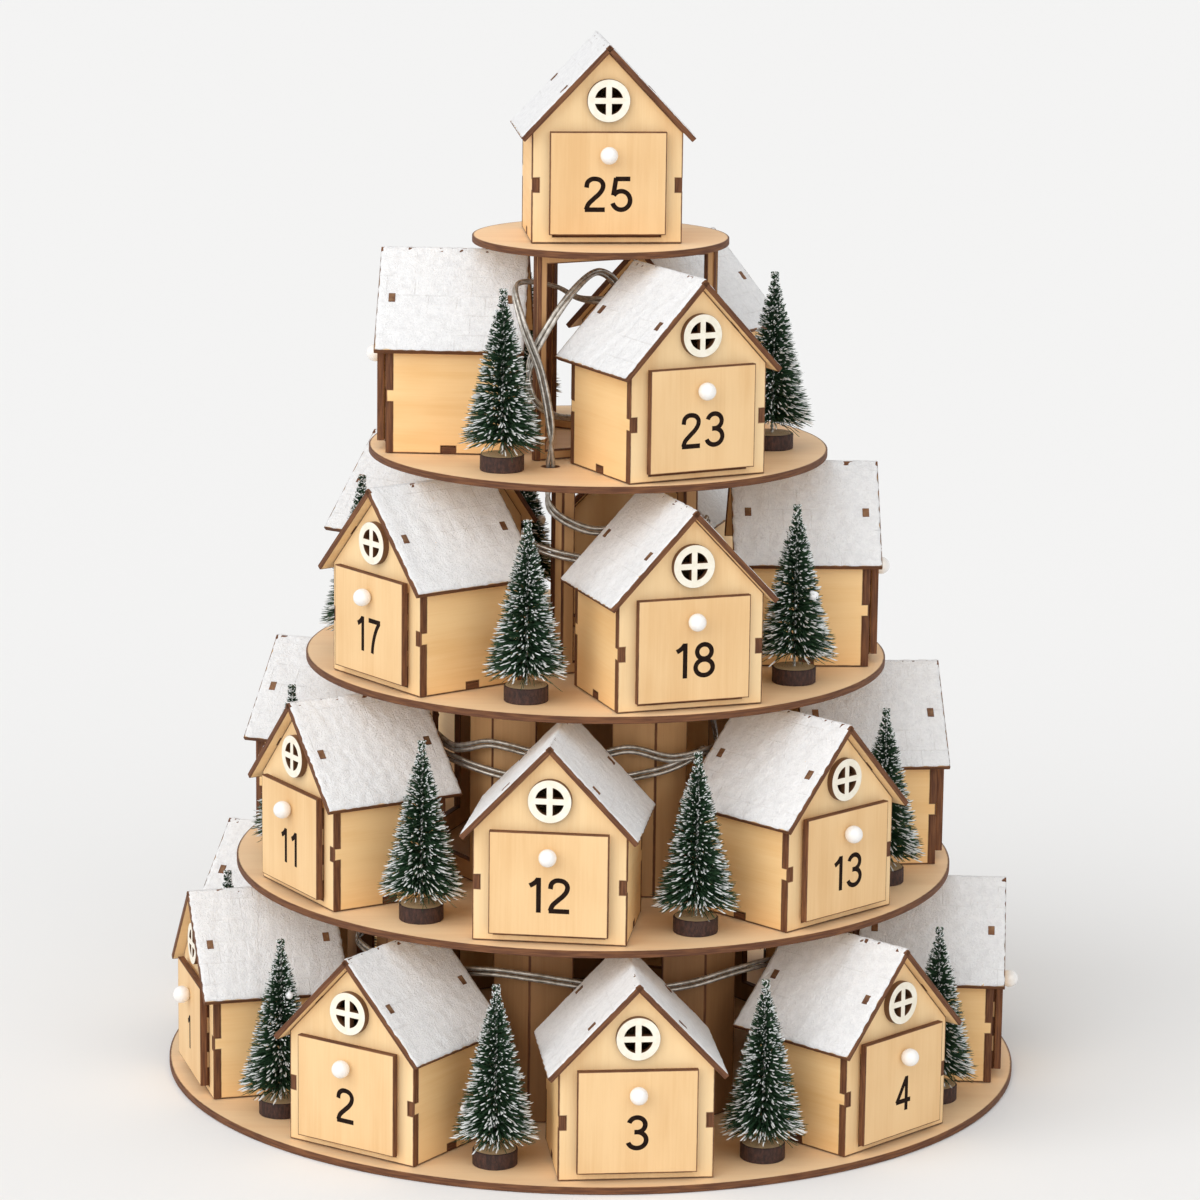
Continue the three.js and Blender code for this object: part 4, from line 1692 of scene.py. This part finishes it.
@dataclass(frozen=True)
class Sun:
    """A soft far lamp: its strength, and its tilt, turn and spread in degrees."""

    name: str
    strength: float
    tilt: float
    turn: float
    spread: float

    def build(self) -> None:
        """Puts the lamp into the scene."""
        data = bpy.data.lights.new(self.name, "SUN")
        data.energy = self.strength
        data.angle = math.radians(self.spread)
        lamp = bpy.data.objects.new(self.name, data)
        lamp.rotation_euler = (math.radians(self.tilt), 0.0, math.radians(self.turn))
        bpy.context.scene.collection.objects.link(lamp)


@dataclass(frozen=True)
class Studio:
    """Camera, lamps, backdrop and floor."""

    focal_pixels: float = 4640.8
    picture: float = 1200.0
    camera_place: tuple[float, float, float] = (0.00168, -2.0438, 0.6545)
    look_down: float = math.radians(12.17)
    roll: float = math.radians(0.7125)
    key: Sun = Sun("key", strength=1.66, tilt=55.0, turn=-48.0, spread=66.0)
    fill: Sun = Sun("fill", strength=0.74, tilt=62.0, turn=22.0, spread=60.0)
    background: float = 0.885
    sky: float = 0.62
    sky_colour: Colour = (1.0, 0.995, 0.985)
    floor_reach: float = 30.0
    floor_below: float = 0.0002

    def build(self) -> None:
        """Sets up everything that isn't the object."""
        self.set_camera()
        self.set_lamps()
        self.set_floor()

    def set_camera(self) -> None:
        """Puts the camera where the picture was taken from."""
        sensor = 36.0
        data = bpy.data.cameras.new("camera")
        data.sensor_width = sensor
        data.lens = self.focal_pixels * sensor / self.picture
        data.clip_end = 60.0
        camera = bpy.data.objects.new("camera", data)
        down, roll = self.look_down, self.roll
        right = np.array([1.0, 0.0, 0.0])
        up = np.array([0.0, math.sin(down), math.cos(down)])
        rolled_right = right * math.cos(roll) + up * math.sin(roll)
        rolled_up = up * math.cos(roll) - right * math.sin(roll)
        back = np.cross(rolled_right, rolled_up)
        place = np.column_stack([rolled_right, rolled_up, back, self.camera_place])
        camera.matrix_world = Matrix([*place.tolist(), [0.0, 0.0, 0.0, 1.0]])
        bpy.context.scene.collection.objects.link(camera)
        bpy.context.scene.camera = camera

    def set_lamps(self) -> None:
        """One soft key from the upper left, one weaker from the right, and an even sky."""
        for sun in (self.key, self.fill):
            sun.build()
        world = bpy.data.worlds.new("studio")
        bpy.context.scene.world = world
        world.use_nodes = True
        tree = world.node_tree
        tree.nodes.clear()
        out = tree.nodes.new("ShaderNodeOutputWorld")
        skies = []
        for colour, strength in ((self.sky_colour, self.sky), ((self.background,) * 3, 1.0)):
            node = tree.nodes.new("ShaderNodeBackground")
            node.inputs["Color"].default_value = (*colour, 1.0)
            node.inputs["Strength"].default_value = strength
            skies.append(node.outputs[0])
        path = tree.nodes.new("ShaderNodeLightPath")
        either = tree.nodes.new("ShaderNodeMath")
        either.operation = "MAXIMUM"
        mix = tree.nodes.new("ShaderNodeMixShader")
        tree.links.new(path.outputs["Is Camera Ray"], either.inputs[0])
        tree.links.new(path.outputs["Is Glossy Ray"], either.inputs[1])
        tree.links.new(either.outputs[0], mix.inputs[0])
        tree.links.new(skies[0], mix.inputs[1])
        tree.links.new(skies[1], mix.inputs[2])
        tree.links.new(mix.outputs[0], out.inputs["Surface"])
        bpy.context.scene.view_settings.view_transform = "Standard"

    def set_floor(self) -> None:
        """A wide pale floor just under the base disc."""
        grid = np.linspace(-self.floor_reach, self.floor_reach, 5)
        x, y = np.meshgrid(grid, grid, indexing="ij")
        points = np.stack([x, y, np.full_like(x, -self.floor_below)], axis=-1).reshape(-1, 3)
        mesh = bpy.data.meshes.new("studio_floor")
        faces = grid_faces(np.arange(len(points)).reshape(x.shape))
        mesh.from_pydata(points.tolist(), [], faces.tolist())
        mesh.materials.append(StageFinish().build())
        floor = bpy.data.objects.new("studio_floor", mesh)
        bpy.context.scene.collection.objects.link(floor)


def main() -> None:
    """Loads the frame and builds the studio, the tower, the houses and the trees."""
    logging.basicConfig(level=logging.INFO, format="%(name)s: %(message)s")
    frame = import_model()
    LOG.info("frame with %d nodes", len(frame["nodes"]))
    Studio().build()
    palette = Palette()
    tower = Tower(palette)
    tower.build()
    sizes, number = tower.sizes, 0
    for tier, count in enumerate(sizes.houses):
        height = sizes.top(tier) + sizes.seat_gap
        for place in range(count):
            number += 1
            spot = Spot(sizes.house_angle(tier, place), sizes.face_radius(tier), height)
            House(number, spot, palette, sizes.house).build()
            if not sizes.is_top(tier):
                away = sizes.disc_radii[tier] - sizes.tree_margin
                stand = Spot(sizes.gap_angle(tier, place), away, sizes.top(tier))
                Tree(f"tree_{number:02d}", stand, number, palette).build()


if __name__ == "__main__":
    main()
